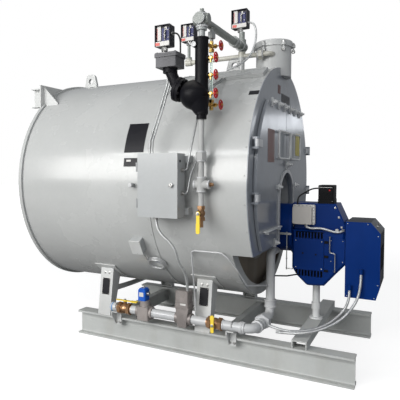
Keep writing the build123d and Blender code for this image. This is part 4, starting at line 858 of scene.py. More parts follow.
    def make(self, name: str, slot: Slot, body: str = FIXED, crease: float = 34.0) -> bpy.types.Object:
        """Make the object, give it its finishes and let it ride on a body.

        Args:
            name: the piece's name.
            slot: not used.
            body: the body that it moves with.
            crease: edges sharper than this many degrees stay crisp.

        Returns:
            The new object.
        """
        mesh = bpy.data.meshes.new(name)
        mesh.from_pydata([p * METRE for p in self.points], [], self.faces)
        for finish in self.finishes:
            mesh.materials.append(finish.material())
        mesh.polygons.foreach_set("material_index", self.marks)
        mesh.polygons.foreach_set("use_smooth", [True] * len(self.faces))
        mesh.validate()
        mesh.set_sharp_from_angle(angle=math.radians(crease))
        piece = bpy.data.objects.new(name, mesh)
        bpy.context.scene.collection.objects.link(piece)
        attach(piece, body)
        LOG.info("%s: %d faces on %s", name, len(self.faces), body)
        return piece


def across_of(axis: Vector) -> tuple[Vector, Vector]:
    """Two directions square to an axis and to each other."""
    helper = UP if abs(axis.dot(UP)) < 0.9 else ALONG
    u = helper.cross(axis).normalized()
    return u, axis.cross(u)


def circle(radius: float, steps: int, turn: float = 0.0) -> Outline:
    """Points evenly round a circle, counter-clockwise from an angle in degrees."""
    start = math.radians(turn)
    return [(radius * math.cos(start + 2 * math.pi * k / steps), radius * math.sin(start + 2 * math.pi * k / steps))
            for k in range(steps)]


def rounded(width: float, height: float, corner: float, steps: int = 4) -> Outline:
    """A rectangle about its centre with round corners, counter-clockwise.

    Args:
        width: its size along the first direction.
        height: its size along the second direction.
        corner: radius of its corners.
        steps: sides of each corner.

    Returns:
        The outline.
    """
    found: Outline = []
    for cx, cy, start in ((1, 1, 0), (-1, 1, 90), (-1, -1, 180), (1, -1, 270)):
        for k in range(steps + 1):
            angle = math.radians(start + 90 * k / steps)
            found.append((cx * (width / 2 - corner) + corner * math.cos(angle),
                          cy * (height / 2 - corner) + corner * math.sin(angle)))
    return found


def inset(outline: Outline, distance: float) -> Outline:
    """An outline moved inwards.

    Args:
        outline: a counter-clockwise outline.
        distance: how far it moves.

    Returns:
        The smaller outline.
    """
    found: Outline = []
    count = len(outline)
    for i, (x, y) in enumerate(outline):
        ax, ay = outline[i - 1]
        bx, by = outline[(i + 1) % count]
        first = Vector((x - ax, y - ay)).normalized()
        second = Vector((bx - x, by - y)).normalized()
        middle = Vector((-first.y - second.y, first.x + second.x))
        middle.normalize()
        share = max(0.3, middle.dot(Vector((-first.y, first.x))))
        found.append((x + middle.x * distance / share, y + middle.y * distance / share))
    return found


def corners(reach: float = 1.0, rise: float = 1.0) -> list[tuple[float, float]]:
    """The four corners of a rectangle about its centre, from its half sizes."""
    return [(a * reach, b * rise) for a in (-1, 1) for b in (-1, 1)]


def winding(pitch: float, mean: float, depth: float) -> Callable[[float, float], float]:
    """Radius of a wound steel sleeve, for Former.tube.

    Args:
        pitch: distance from rib to rib.
        mean: mean radius.
        depth: height of a rib above the mean.

    Returns:
        A function of the distance and the angle.
    """
    return lambda gone, angle: mean + depth * math.cos(2 * math.pi * gone / pitch + angle)


def on_shell(x: float, angle: float, radius: float = SHELL_RADIUS) -> Vector:
    """A point of the shell.

    Args:
        x: its place along the shell.
        angle: degrees from the top, positive to the near side.
        radius: distance from the shell's axis.

    Returns:
        The point.
    """
    turn = math.radians(angle)
    return SHELL_AXIS + Vector((x, -radius * math.sin(turn), radius * math.cos(turn)))


def shell_outward(angle: float) -> Vector:
    """The direction away from the shell at an angle from the top."""
    turn = math.radians(angle)
    return Vector((0.0, -math.sin(turn), math.cos(turn)))


def dress(nodes: dict[str, Finish]) -> None:
    """Give frame nodes their finishes.

    Args:
        nodes: finishes by the node's name.
    """
    for name, finish in nodes.items():
        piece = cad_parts[name]
        for place in piece.material_slots:
            place.material = finish.material()
        LOG.info("%s: dressed as %s", name, finish.name)


@dataclass
class Studio:
    """Floor, lamps, surroundings and camera."""

    position: Point = (1.3113, -3.4662, 1.2612)
    direction: Point = (-0.4934, 0.8689, -0.0409)
    lens: float = 43.19
    shift: tuple[float, float] = (0.125, -0.025)
    sensor: float = 36.0
    floor_side: float = 60000.0
    floor_depth: float = 12.0
    floor_tone: Colour = (0.34, 0.34, 0.34)
    glow_reach: tuple[float, float] = (3.0, 9.0)
    glow: tuple[float, float] = (0.80, 1.0)
    sky: Colour = (0.93, 0.96, 1.0)
    sky_level: float = 0.34

    def floor(self) -> None:
        """A wide pale floor that keeps the shadow and otherwise shows as white."""
        former = Former()
        former.plate((0, 0, -self.floor_depth), ALONG, ACROSS, rounded(self.floor_side, self.floor_side, 2000),
                     self.floor_depth, 1)
        mesh = bpy.data.meshes.new("floor")
        mesh.from_pydata([p * METRE for p in former.points], [], former.faces)
        material = bpy.data.materials.new("floor_pale")
        material.use_nodes = True
        graph = Graph(material.node_tree)
        material.node_tree.nodes.clear()
        diffuse = graph.add("ShaderNodeBsdfDiffuse", Color=(*self.floor_tone, 1.0))
        seen = graph.add("ShaderNodeLightPath").outputs["Is Camera Ray"]
        reach = graph.add("ShaderNodeVectorMath", {"operation": "LENGTH"},
                          in0=graph.add("ShaderNodeNewGeometry").outputs["Position"]).outputs["Value"]
        level = graph.spread(reach, *self.glow_reach, *self.glow)
        glow = graph.add("ShaderNodeEmission", Color=(1.0, 1.0, 1.0, 1.0),
                         Strength=graph.math("MULTIPLY", seen, level))
        both = graph.add("ShaderNodeAddShader", in0=diffuse.outputs[0], in1=glow.outputs[0])
        graph.add("ShaderNodeOutputMaterial", Surface=both.outputs[0])
        mesh.materials.append(material)
        floor = bpy.data.objects.new("floor", mesh)
        bpy.context.scene.collection.objects.link(floor)

    def surroundings(self) -> None:
        """A plain grey light all round that shows as white behind the object."""
        world = bpy.data.worlds.new("studio")
        bpy.context.scene.world = world
        world.use_nodes = True
        graph = Graph(world.node_tree)
        world.node_tree.nodes.clear()
        rays = graph.add("ShaderNodeLightPath")
        direct = graph.math("ADD", rays.outputs["Is Camera Ray"], rays.outputs["Is Transmission Ray"], True)
        lit = graph.add("ShaderNodeBackground", Color=(*self.sky, 1.0), Strength=self.sky_level)
        white = graph.add("ShaderNodeBackground", Color=(1.0, 1.0, 1.0, 1.0), Strength=1.0)
        both = graph.add("ShaderNodeMixShader", in0=direct, in1=lit.outputs[0], in2=white.outputs[0])
        graph.add("ShaderNodeOutputWorld", Surface=both.outputs[0])

    def lamp(self, name: str, place: Point, aim: Point, size: tuple[float, float], power: float,
             colour: Colour = (1.0, 1.0, 1.0)) -> None:
        """One soft rectangular lamp.

        Args:
            name: the lamp's name.
            place: where it stands, in metres.
            aim: the point that it faces.
            size: its width and height.
            power: its power in watts.
            colour: its colour.
        """
        light = bpy.data.lights.new(name, "AREA")
        light.shape = "RECTANGLE"
        light.size, light.size_y = size
        light.energy = power
        light.color = colour
        lamp = bpy.data.objects.new(name, light)
        lamp.location = place
        lamp.rotation_euler = (Vector(aim) - Vector(place)).to_track_quat("-Z", "Y").to_euler()
        bpy.context.scene.collection.objects.link(lamp)

    def lamps(self) -> None:
        """A key and a strip on the near side, weak lights above and in front, and a card for the doors to mirror."""
        self.lamp("key", (-2.6, -6.4, 2.6), (-0.3, 0.0, 1.1), (5.5, 2.4), 350.0, (1.0, 0.99, 0.97))
        self.lamp("strip", (-0.4, -5.9, 4.3), (-0.4, -0.8, 1.38), (8.5, 0.30), 150.0)
        self.lamp("top", (0.2, -0.6, 5.2), (0.0, 0.0, 1.0), (4.0, 3.0), 22.0)
        self.lamp("front", (5.2, -2.6, 2.4), (0.6, 0.0, 1.1), (2.5, 2.5), 16.0, (0.94, 0.97, 1.0))
        self.lamp("card", (3.0, 9.3, 2.52), (0.46, -0.3, 1.58), (1.7, 0.40), 6.0, (0.90, 0.94, 1.0))

    def camera(self) -> None:
        """The camera at the photograph's place."""
        lens = bpy.data.cameras.new("view")
        lens.lens = self.lens
        lens.sensor_width = self.sensor
        lens.shift_x, lens.shift_y = self.shift
        lens.clip_end = 200.0
        camera = bpy.data.objects.new("view", lens)
        camera.location = self.position
        camera.rotation_euler = Vector(self.direction).to_track_quat("-Z", "Y").to_euler()
        bpy.context.scene.collection.objects.link(camera)
        bpy.context.scene.camera = camera
        bpy.context.scene.view_settings.view_transform = "Standard"

    def build(self) -> None:
        """Set up the whole studio."""
        self.floor()
        self.surroundings()
        self.lamps()
        self.camera()


@dataclass
class Cords:
    """The free cords: corrugated steel conduits and black cables, along their own smooth lines."""

    rib_pitch: float = 8.0
    rib_depth: float = 1.9
    cabinet_face_y: float = -176.0

    def line(self, name: str, route: Sequence[Point]) -> list[Vector]:
        """Points along the smooth line of a route, in millimetres.

        Args:
            name: the cord's name.
            route: the route's points in millimetres.

        Returns:
            The points of its NURBS line.
        """
        curve = bpy.data.curves.new(name + "_line", "CURVE")
        curve.dimensions = "3D"
        spline = curve.splines.new("NURBS")
        spline.points.add(len(route) - 1)
        for point, place in zip(spline.points, route):
            point.co = (*(Vector(place) * METRE), 1.0)
        spline.order_u = 3
        spline.use_endpoint_u = True
        spline.resolution_u = 24
        holder = bpy.data.objects.new(name + "_line", curve)
        bpy.context.scene.collection.objects.link(holder)
        mesh = bpy.data.meshes.new_from_object(holder)
        found = [v.co / METRE for v in mesh.vertices]
        bpy.data.objects.remove(holder)
        bpy.data.meshes.remove(mesh)
        return found

    def even(self, line: list[Vector], step: float) -> list[Vector]:
        """The same line with points at even distances.

        Args:
            line: the points of the line.
            step: the distance to keep to.

        Returns:
            The new points.
        """
        total = sum((b - a).length for a, b in zip(line, line[1:]))
        count = max(8, round(total / step))
        found = [line[0].copy()]
        gap = total / count
        left = gap
        for a, b in zip(line, line[1:]):
            run = (b - a).length
            place = 0.0
            while run - place >= left - 1e-9 and len(found) < count:
                place += left
                found.append(a.lerp(b, place / run))
                left = gap
            left -= run - place
        found.append(line[-1].copy())
        return found

    def conduit(self, name: str, route: Sequence[Point], radius: float) -> None:
        """A corrugated steel conduit whose ribs wind round it.

        Args:
            name: the cord's node.
            route: the route's points.
            radius: its outer radius.
        """
        line = self.even(self.line(name, route), self.rib_pitch / 6)

        def ribbed(gone: float, angle: float) -> float:
            """Radius at a distance and an angle."""
            wave = 0.5 + 0.5 * math.cos(2 * math.pi * gone / self.rib_pitch + angle)
            return radius - self.rib_depth * wave * wave

        former = Former().use(FLEX).tube(line, ribbed, 14)
        piece = former.make(name + "_conduit", Slot.FLEX, crease=80.0)
        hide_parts(name)

    def cable(self, name: str, route: Sequence[Point], radius: float) -> None:
        """A smooth black cable.

        Args:
            name: the cord's node.
            route: the route's points.
            radius: its outer radius.
        """
        line = self.even(self.line(name, route), 3.0)
        piece = Former().use(CABLE).tube(line, radius, 12).make(name + "_sheath", Slot.CABLE, crease=80.0)
        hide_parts(name)

    def build(self) -> None:
        """Make every cord."""
        y = self.cabinet_face_y
        self.conduit("burner_flex_rear", [
            (917, y, 492), (917, y, 420), (880, -215, 345), (800, -330, 282), (690, -440, 262),
            (575, -500, 262), (480, -470, 276)], 9.0)
        self.conduit("burner_flex_front", [
            (984, y, 600), (984, y, 520), (962, -215, 420), (890, -330, 330), (780, -445, 282),
            (650, -520, 262), (540, -530, 262)], 9.0)
        self.conduit("cabinet_flex", [
            (-104, -900, 978), (-100, -902, 920), (-70, -886, 862), (-20, -862, 815), (4, -842, 760),
            (-2, -800, 690), (14, -740, 620), (6, -690, 560), (-6, -650, 480)], 9.0)
        self.conduit("control_flex", [
            (223.3, -150, 2300), (258, -150, 2300), (286, -160, 2236), (290, -190, 2140), (268, -240, 2040),
            (216, -320, 1968), (150, -366, 1938)], 7.0)
        self.cable("control_cable", [
            (-9.7, -860, 2084), (18, -860, 2084), (40, -862, 2046), (40, -860, 2000), (40, -860, 1962.3)], 5.0)
        self.cable("flame_cable", [
            (699.7, -90, 1140), (666, -90, 1140), (620, -108, 1112), (584, -132, 1088), (576, -138, 1058),
            (576, -138, 1030.3)], 5.0)


@dataclass
class Skid:
    """Rails, ties, legs and the brackets of the gas pipe."""

    rail_outer_y: float = -533.0
    rail_top: float = 178.0
    leg_top: tuple[float, float] = (-485.0, 531.5)
    leg_x: tuple[float, float] = (-751.0, 46.0)
    label: tuple[float, float] = (64.0, 122.0)
    label_z: tuple[float, float] = (388.0, 410.0)
    bracket_x: tuple[float, float] = (-618.0, 262.0)
    pipe: tuple[float, float] = (-570.0, 265.0)
    strap_radius: float = 33.4

    def on_leg(self, x: float, z: float, side: float) -> Vector:
        """A point on the outer plate of a leg: side is -1 on the near side and 1 on the far side."""
        top_y, top_z = self.leg_top
        share = (z - self.rail_top) / (top_z - self.rail_top)
        return Vector((x, -side * (self.rail_outer_y + (top_y - self.rail_outer_y) * share), z))

    def leg_frame(self, side: float) -> tuple[Vector, Vector]:
        """Directions along and up a leg's outer plate, ordered so that the plate faces out."""
        up = (self.on_leg(0, 500, side) - self.on_leg(0, 200, side)).normalized()
        return (ALONG if side < 0 else -ALONG), up

    def plates(self) -> None:
        """The bare black plates on the four legs, each with four small screws."""
        former = Former()
        width, height = self.label
        for side in (-1.0, 1.0):
            u, v = self.leg_frame(side)
            out = u.cross(v)
            for x, z in zip(self.leg_x, self.label_z):
                centre = self.on_leg(x, z, side) + out * 0.3
                former.use(PALE).plate(centre, u, v, rounded(width + 5, height + 5, 5), 1.4, 0.4)
                former.use(DARK_PLATE).plate(centre + out * 1.1, u, v, rounded(width, height, 4), 1.2, 0.4)
                former.use(STEEL)
                for a, b in corners(width / 2 - 6, height / 2 - 6):
                    former.screw(centre + u * a + v * b + out * 2.2, out, 2.6)
        former.make("leg_plates", Slot.CASE)

    def bolts(self) -> None:
        """Bolts through the tops of the legs and through the gas pipe's brackets."""
        former = Former().use(STEEL)
        for side in (-1.0, 1.0):
            u, v = self.leg_frame(side)
            for x in self.leg_x:
                for shift in (-19.0, 19.0):
                    former.bolt(self.on_leg(x + shift, 489, side), u.cross(v), 13, turn=20)
        for x in self.bracket_x:
            for shift in (-15.0, 15.0):
                former.bolt((x + shift, self.rail_outer_y - 7.3, 146), NEAR, 13, turn=10)
        former.make("skid_bolts", Slot.STEEL)

    def clips(self) -> None:
        """Round straps that hold the gas pipe on its brackets."""
        former = Former().use(STEEL)
        y, z = self.pipe
        for x in self.bracket_x:
            points = [(x + 14, y + self.strap_radius, z - 36)]
            for k in range(17):
                angle = math.pi * k / 16
                points.append((x + 14, y + self.strap_radius * math.cos(angle),
                               z + self.strap_radius * math.sin(angle)))
            former.tube(points, 3.0, 8)
        former.make("pipe_straps", Slot.STEEL)

    def welds(self) -> None:
        """Weld beads along the foot of each leg."""
        former = Former().use(LEG_GREY)
        for side in (-1.0, 1.0):
            for x in self.leg_x:
                points = [(x - 54 + 4.5 * k, side * 534.2 + 0.7 * math.sin(k * 1.9), 179.6 + 0.5 * math.cos(k * 1.3))
                          for k in range(25)]
                former.tube(points, lambda gone, angle: 2.4 + 0.5 * math.sin(gone * 1.4), 8)
        former.make("leg_welds", Slot.GREY)

    def build(self) -> None:
        """Dress the skid and add its small pieces."""
        dress({"skid_rails": RAIL_GREY, "cross_members": RAIL_GREY, "gas_brackets": LEG_GREY, "legs": LEG_GREY,
               "rear_brace": LEG_GREY})
        self.plates()
        self.bolts()
        self.clips()
        self.welds()


@dataclass
class Vessel:
    """Jacket, heads, lugs and what is fixed to them."""

    rear_door_face: float = -1339.0
    rear_bolt_circle: float = 652.0
    rear_bolts: int = 24
    seam_x: float = -225.0
    seam_rivets: int = 44
    ring_face: float = -1327.0
    ring_bolt_circle: float = 790.0
    ring_bolts: int = 20
    cable_box: tuple[float, float] = (-343.0, 120.0)
    coil_place: tuple[float, float] = (-255.0, 131.6)
    coil_turn: float = 1035.0

    def patch(self, former: Former, x0: float, x1: float, top: float, low: float, lift: float) -> None:
        """A thin curved plate on the shell between two angles from its top line.

        Args:
            former: what the faces go into.
            x0: its rear edge.
            x1: its front edge.
            top: the angle of its upper edge.
            low: the angle of its lower edge.
            lift: its thickness.
        """
        steps = 10
        rings = []
        for x, rise in ((x0, 0.2), (x0, lift), (x1, lift), (x1, 0.2)):
            start = len(former.points)
            for k in range(steps + 1):
                former.points.append(on_shell(x, top + (low - top) * k / steps, SHELL_RADIUS + rise))
            rings.append(list(range(start, start + steps + 1)))
        for first, second in zip(rings, rings[1:]):
            for k in range(steps):
                former.face((first[k], first[k + 1], second[k + 1], second[k]))
        former.face(tuple(ring[0] for ring in rings))
        former.face(tuple(ring[-1] for ring in reversed(rings)))

    def plates(self) -> None:
        """Bare plates on the jacket and the smokebox."""
        former = Former().use(DARK_PLATE)
        self.patch(former, -412, -265, 60.4, 75.3, 2.0)
        self.patch(former, -405, -303, 78.0, 82.0, 2.0)
        self.patch(former, 372, 434, 44.3, 46.9, 2.0)
        former.use(PALE)
        self.patch(former, -386, -352, 78.8, 79.7, 2.6)
        former.make("jacket_plates", Slot.CASE)

    def rear(self) -> None:
        """Studs round the rear door and bolts round the rear ring."""
        former = Former().use(STEEL)
        for k in range(self.rear_bolts):
            angle = 2 * math.pi * k / self.rear_bolts
            place = SHELL_AXIS + Vector((self.rear_door_face, self.rear_bolt_circle * math.cos(angle),
                                         self.rear_bolt_circle * math.sin(angle)))
            former.bolt(place, -ALONG, 24, stud=8, turn=17 * k)
        for k in range(self.ring_bolts):
            angle = 2 * math.pi * (k + 0.5) / self.ring_bolts
            place = SHELL_AXIS + Vector((self.ring_face, self.ring_bolt_circle * math.cos(angle),
                                         self.ring_bolt_circle * math.sin(angle)))
            former.bolt(place, -ALONG, 13, turn=11 * k)
        former.make("rear_door_studs", Slot.STEEL)

    def seam(self) -> None:
        """Rivets along the seam band."""
        former = Former().use(GREY)
        for k in range(self.seam_rivets):
            angle = 360 * k / self.seam_rivets
            former.screw(on_shell(self.seam_x - 6, angle, SHELL_RADIUS + 4), shell_outward(angle), 4.2)
            former.screw(on_shell(self.seam_x + 6, angle + 4, SHELL_RADIUS + 4), shell_outward(angle + 4), 4.2)
        former.make("seam_rivets", Slot.GREY)

    def fittings(self) -> None:
        """The cover of the small cable box and the cap of the thermometer well."""
        former = Former().use(LEG_GREY)
        x, angle = self.cable_box
        out = shell_outward(angle)
        rise = out.cross(ALONG)
        centre = SHELL_AXIS + ALONG * x + out * (SHELL_RADIUS + 52)
        former.plate(centre, ALONG, rise, rounded(86, 110, 7), 4, 1)
        former.use(STEEL)
        for a in (-1, 1):
            former.screw(centre + rise * a * 46 + out * 4, out, 3.2)
        former.use(PIPE_GREY).lathe((-323, -838, 1166), NEAR, [(0, 13), (4, 15), (12, 15), (16, 12), (17, 0)], 18)
        former.make("fitting_covers", Slot.GREY)

    def coil(self) -> None:
        """The spare loops of thin steel tube that hang below the small cable box."""
        x, middle = self.coil_place
        lead = [on_shell(x - 70, 123.2, SHELL_RADIUS + 30), on_shell(x - 63, 125.4, SHELL_RADIUS + 30)]
        steps = 84
        for k in range(steps + 1):
            share = k / steps
            turn = math.radians(150 - self.coil_turn * share)
            reach = 70 - 14 * share
            lead.append(on_shell(x + reach * math.cos(turn) - 8 * share,
                                 middle + (4.4 - 1.1 * share) * math.sin(turn) + 0.9 * share,
                                 SHELL_RADIUS + 12 + 9 * share + 3 * math.sin(3 * turn)))
        Former().use(FLEX).tube(lead, 4.6, 10).make("spare_tube_coil", Slot.STEEL)

    def build(self) -> None:
        """Dress the vessel and add its small pieces."""
        dress({"rear_jacket": GREY, "front_jacket": GREY, "rear_head": GREY, "rear_door": FRONT_GREY_AND_SHADE,
               "rear_brackets": LEG_GREY, "lifting_lugs": LEG_GREY, "front_tubesheet": TUBESHEET_GREY,
               "wireway": GREY, "shell_fittings": BOX_GREY})
        self.plates()
        self.rear()
        self.seam()
        self.fittings()
        self.coil()


@dataclass
class Smokebox:
    """Wrapper, door frame, the two doors and the flue stub."""

    door_face: float = 462.0
    frame_face: float = 439.0
    dogs: tuple[tuple[float, float], ...] = ((80, 1698), (235, 1698), (390, 1698), (242, 1150), (26, 1302),
                                           (300, 782))
    stack: tuple[float, float, float] = (364.0, 135.5, 2130.0)

    def nuts(self, side: float, body: str) -> None:
        """Nuts, stud ends and washers on one door's clamps.

        Args:
            side: -1 for the near door, 1 for the far door.
            body: the door's body.
        """
        former = Former().use(PALE_GREY)
        for y, z in self.dogs:
            former.bolt((self.door_face + 12, side * y, z), ALONG, 26, 13, stud=12, turn=y)
        former.make(body + "_nuts", Slot.STEEL, body)

    def labels(self) -> None:
        """A bare plate on each door and two on the frame above them."""
        former = Former().use(RED_PLATE)
        former.plate((self.door_face + 0.2, -396, 1420), ACROSS, UP, rounded(148, 212, 4), 1.4, 0.4)
        former.make("near_door_plate", Slot.CASE, "near_door")
        former = Former().use(YELLOW_PLATE)
        former.plate((self.door_face + 0.2, 348, 1457), ACROSS, UP, rounded(134, 168, 4), 1.4, 0.4)
        former.make("far_door_plate", Slot.CASE, "far_door")
        former = Former().use(OXIDE_PLATE)
        former.plate((self.frame_face + 0.2, -125, 1819), ACROSS, UP, rounded(62, 58, 3), 1.4, 0.4)
        former.use(DARK_PLATE).plate((self.frame_face + 0.2, 54, 1773), ACROSS, UP, rounded(232, 56, 3), 1.4, 0.4)
        former.make("frame_plates", Slot.CASE)

    def ledges(self) -> None:
        """A ledge across the foot of each door, on two small gussets."""
        for side, body in ((-1, "near_door"), (1, "far_door")):
            former = Former().use(PALE_GREY)
            former.plate((475.0, side * 375, 876), ALONG, ACROSS, rounded(25.4, 370, 2), 8, 0.8)
            for y in (230, 520):
                former.plate((475.0, side * y - 3, 862), ALONG, ACROSS, rounded(25.4, 6, 1), 14, 0.5)
            former.make(body + "_ledge", Slot.GREY, body)

    def cap(self) -> None:
        """Nuts and washers on the cap's clamps."""
        x, reach, z = self.stack
        former = Former().use(STEEL)
        for turn in range(15, 375, 60):
            place = Vector((x + reach * math.cos(math.radians(turn)), reach * math.sin(math.radians(turn)), z + 18))
            former.bolt(place, UP, 19, 9, stud=6, turn=turn)
            former.bolt(place - UP * 46, -UP, 19, 9, turn=turn)
        former.make("cap_nuts", Slot.STEEL)

    def rim(self) -> None:
        """Screws round the smokebox wrapper's front edge."""
        former = Former().use(GREY)
        for angle in range(-118, 120, 12):
            if abs(angle) > 4:
                former.screw(on_shell(421, angle, SHELL_RADIUS), shell_outward(angle), 5.0)
        former.make("smokebox_screws", Slot.GREY)

    def build(self) -> None:
        """Dress the smokebox and add its small pieces."""
        # The frame and doors take the darker front grey, which carries painted shade in part.
        dress({"smokebox_wrap": GREY, "smokebox_frame": FRONT_GREY_AND_SHADE, "near_front_door": DOOR_GREY_AND_SHADE,
               "far_front_door": DOOR_GREY_AND_SHADE, "near_door_handle": PALE_GREY, "far_door_handle": PALE_GREY,
               "stack_stub": LEG_GREY, "stack_cap": LEG_GREY})
        self.nuts(-1.0, "near_door")
        self.nuts(1.0, "far_door")
        self.labels()
        self.ledges()
        self.cap()
        self.rim()


# Painted shade: near-black on two bands of the housing's faces set back behind its near panel, below and above its
# screwed panel.
HOUSING_BLUE_SHADED_BANDS = replace(BLUE, name="housing_blue_shaded_bands", zones=(
    Zone((569, -149.5, 546), (753, -120, 592), (0.002, 0.003, 0.006)),
    Zone((569, -149.5, 804), (753, -120, 850), (0.002, 0.003, 0.006))))
# Painted shade: every face of the side cabinet except its near face is near-black.
CABINET_BLUE_SHADED_SIDES = replace(BLUE, name="cabinet_blue_shaded_sides", zones=(
    Zone((886.2, -150, 400), (1120, 220, 1000), (0.005, 0.006, 0.009)),))


@dataclass
class Burner:
    """Gas burner: housing, hood, junction box, flame control, side cabinet and linkage."""

    near_y: float = -150.0
    box_left: float = 546.0
    box_right: float = 690.0
    box_low: float = 897.0
    box_high: float = 1030.0
    box_back: float = -112.3
    box_depth: float = 52.0
    control: Point = (750.5, -32.0, 1038.3)
    control_face: float = -102.0
    hood_face: float = -112.0
    rod: tuple[float, float] = (523.0, -208.0)
    link: tuple[float, float] = (793.0, -176.0)
    vent_face: float = 1092.0

    def junction_box(self) -> None:
        """The beige junction box with its cover and screwed rim."""
        middle = Vector(((self.box_left + self.box_right) / 2, self.box_back, (self.box_low + self.box_high) / 2))
        width = self.box_right - self.box_left
        height = self.box_high - self.box_low
        former = Former().use(PALE)
        former.plate(middle, ALONG, UP, rounded(width, height, 8), self.box_depth * 0.55, 1.5)
        face = middle + NEAR * self.box_depth * 0.55
        former.use(BEIGE).plate(face + Vector((-8, 0, -6)), ALONG, UP, rounded(width - 18, height - 14, 9),
                                self.box_depth * 0.45, 2.0)
        former.use(STEEL)
        for k in range(6):
            place = face + Vector((width / 2 - 8, 0, -height / 2 + 13 + k * (height - 26) / 5))
            former.bolt(place, NEAR, 8, turn=k * 13)
        for k in range(5):
            place = face + Vector((-width / 2 + 14 + k * (width - 40) / 4, 0, height / 2 - 6))
            former.bolt(place, NEAR, 7, turn=k * 9)
        piece = former.make("junction_box_case", Slot.BEIGE)
        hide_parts("burner_controls")

    def flame_control(self) -> None:
        """The black flame control with its ribs, pale line, button and screws."""
        centre = Vector(self.control)
        face = self.control_face
        former = Former().use(BLACK)
        former.plate(centre, ALONG, ACROSS, rounded(101, 144, 5), 30, 1.5)
        former.plate(centre + UP * 31, ALONG, ACROSS, rounded(97, 140, 6), 92.5, 4)
        for k in range(7):
            former.plate((714 + 12 * k, face, 1094), ALONG, UP, rounded(5, 34, 2), 2.4, 0.8)
        former.use(PALE).plate((centre.x, face, 1147), ALONG, UP, rounded(84, 3.4, 1.2), 1.2, 0.3)
        former.use(RED).lathe((776, face, 1128), NEAR, [(0, 6), (3, 6), (4, 4.5), (4, 0)], 16)
        former.use(STEEL).screw((708, face, 1056), NEAR, 3.0).screw((793, face, 1056), NEAR, 3.0)
        piece = former.make("flame_control_case", Slot.CASE)
        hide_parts("burner_controls")

    def panel(self) -> None:
        """Screws, round plugs and hinge strips on the housing and the hood."""
        former = Former().use(STEEL)
        for x, z in ((572, 606), (740, 606), (572, 788), (740, 788)):
            former.screw((x, self.near_y - 7, z), NEAR, 4.0)
        for x, z in ((798, 664), (870, 664), (798, 800), (870, 800)):
            former.screw((x, self.near_y - 5, z), NEAR, 3.6)
        for x, z in ((834, 1012), (858, 950), (876, 884), (560, 880), (702, 1022)):
            former.bolt((x - 20, self.hood_face, z), NEAR, 9, turn=x)
        former.use(BLACK)
        for x, z in ((618, 704), (703, 700)):
            former.lathe((x, self.near_y - 7, z), NEAR, [(0, 6.5), (1.6, 6.5), (1.6, 4.2), (0.4, 4.0), (0.4, 0)], 16)
        for z in (596, 690, 786):
            former.plate((768, self.near_y - 0.5, z), ALONG, UP, rounded(26, 16, 3), 6, 1)
        former.make("housing_screws", Slot.STEEL)

    def linkage(self) -> None:
        """Rods and levers of the air and gas linkage."""
        former = Former().use(STEEL)
        x, y = self.rod
        former.tube([(537, self.near_y, 833), (537, -206, 833)], 6.0, 12)
        former.plate((510, -200, 833), ALONG, UP, rounded(84, 14, 6.5), 4, 0.8)
        former.tube([(x, y, 846), (x, y, 592)], 3.6, 12)
        for z in (838, 742, 664, 600):
            former.bolt((x, y, z), UP, 10, 7, washer=False)
        far, side = self.link
        for start, end, radius in (
                ((x, y, 600), (560, y, 600), 3.4), ((560, y, 600), (560, -149, 600), 4.2),
                ((far, side, 826), (far, side, 722), 3.2), ((far, side, 824), (far, -149, 824), 3.6),
                ((far, side, 724), (826, side, 716), 3.2), ((826, side, 718), (826, side, 596), 3.2),
                ((826, side, 598), (812, -149, 598), 3.6)):
            former.tube([start, end], radius, 10)
        for z in (822, 770, 728):
            former.bolt((far, side, z), UP, 9, 6, washer=False)
        former.make("linkage_rods", Slot.STEEL)

    def sleeve(self) -> None:
        """The wound steel sleeve from the junction box to the side cabinet, with its two ends."""
        former = Former().use(FLEX)
        run = [Vector(p) for p in ((640, -166, 884), (672, -170, 874), (715, -172, 880), (760, -172, 876),
                                   (806, -172, 862), (846, -170, 858), (872, -166, 872))]
        smooth = [run[0]]
        for k in range(1, len(run) - 1):
            for t in (0.25, 0.75):
                smooth.append(run[k].lerp(run[k - 1] if t < 0.5 else run[k + 1], abs(t - 0.5)))
        smooth.append(run[-1])
        fine = [a.lerp(b, k / 8) for a, b in zip(smooth, smooth[1:]) for k in range(8)] + [smooth[-1]]
        former.tube(fine, winding(8.0, 7.4, 0.8), 12)
        former.use(STEEL).lathe((640, -164, 884), UP, [(0, 11), (18, 11), (19, 9), (19, 0)], 8)
        former.lathe((872, -166, 866), UP, [(0, 9), (1, 11), (14, 11), (15, 0)], 8)
        former.plate((834, -150, 866), ALONG, UP, rounded(20, 26, 3), 18, 1)
        former.make("junction_sleeve", Slot.FLEX)

    def pilot(self) -> None:
        """The small black pilot pipe below the housing."""
        former = Former().use(BLACK)
        former.tube([(438, -200, 538), (520, -176, 541), (592, -120, 552)], 5.0, 12)
        former.make("pilot_pipe", Slot.IRON)

    def cabinet(self) -> None:
        """Screws, top bolts and vents of the side cabinet."""
        former = Former().use(STEEL)
        for x, z in ((898, 452), (898, 918), (1018, 918), (1078, 846), (1080, 536), (1060, 452)):
            former.screw((x, -160, z), NEAR, 3.4)
        former.bolt((1062, -40, 897), (0.76, 0, 0.65), 14, turn=12)
        former.bolt((1062, 80, 897), (0.76, 0, 0.65), 14, turn=40)
        former.use(BLUE_DARK)
        for k in range(9):
            former.plate((self.vent_face, -110 + 30 * k, 700), ACROSS, UP, rounded(9, 150, 4), 2.6, 1.2)
        former.make("side_cabinet_screws", Slot.STEEL)

    def build(self) -> None:
        """Dress the burner and add its pieces."""
        # The housing's and the cabinet's zones paint shade near-black.
        dress({"burner_tube": BLUE, "burner_housing": HOUSING_BLUE_SHADED_BANDS, "burner_hood": BLUE,
               "burner_cabinet": CABINET_BLUE_SHADED_SIDES, "burner_pedestal": PALE_GREY})
        self.junction_box()
        self.flame_control()
        self.panel()
        self.linkage()
        self.sleeve()
        self.pilot()
        self.cabinet()


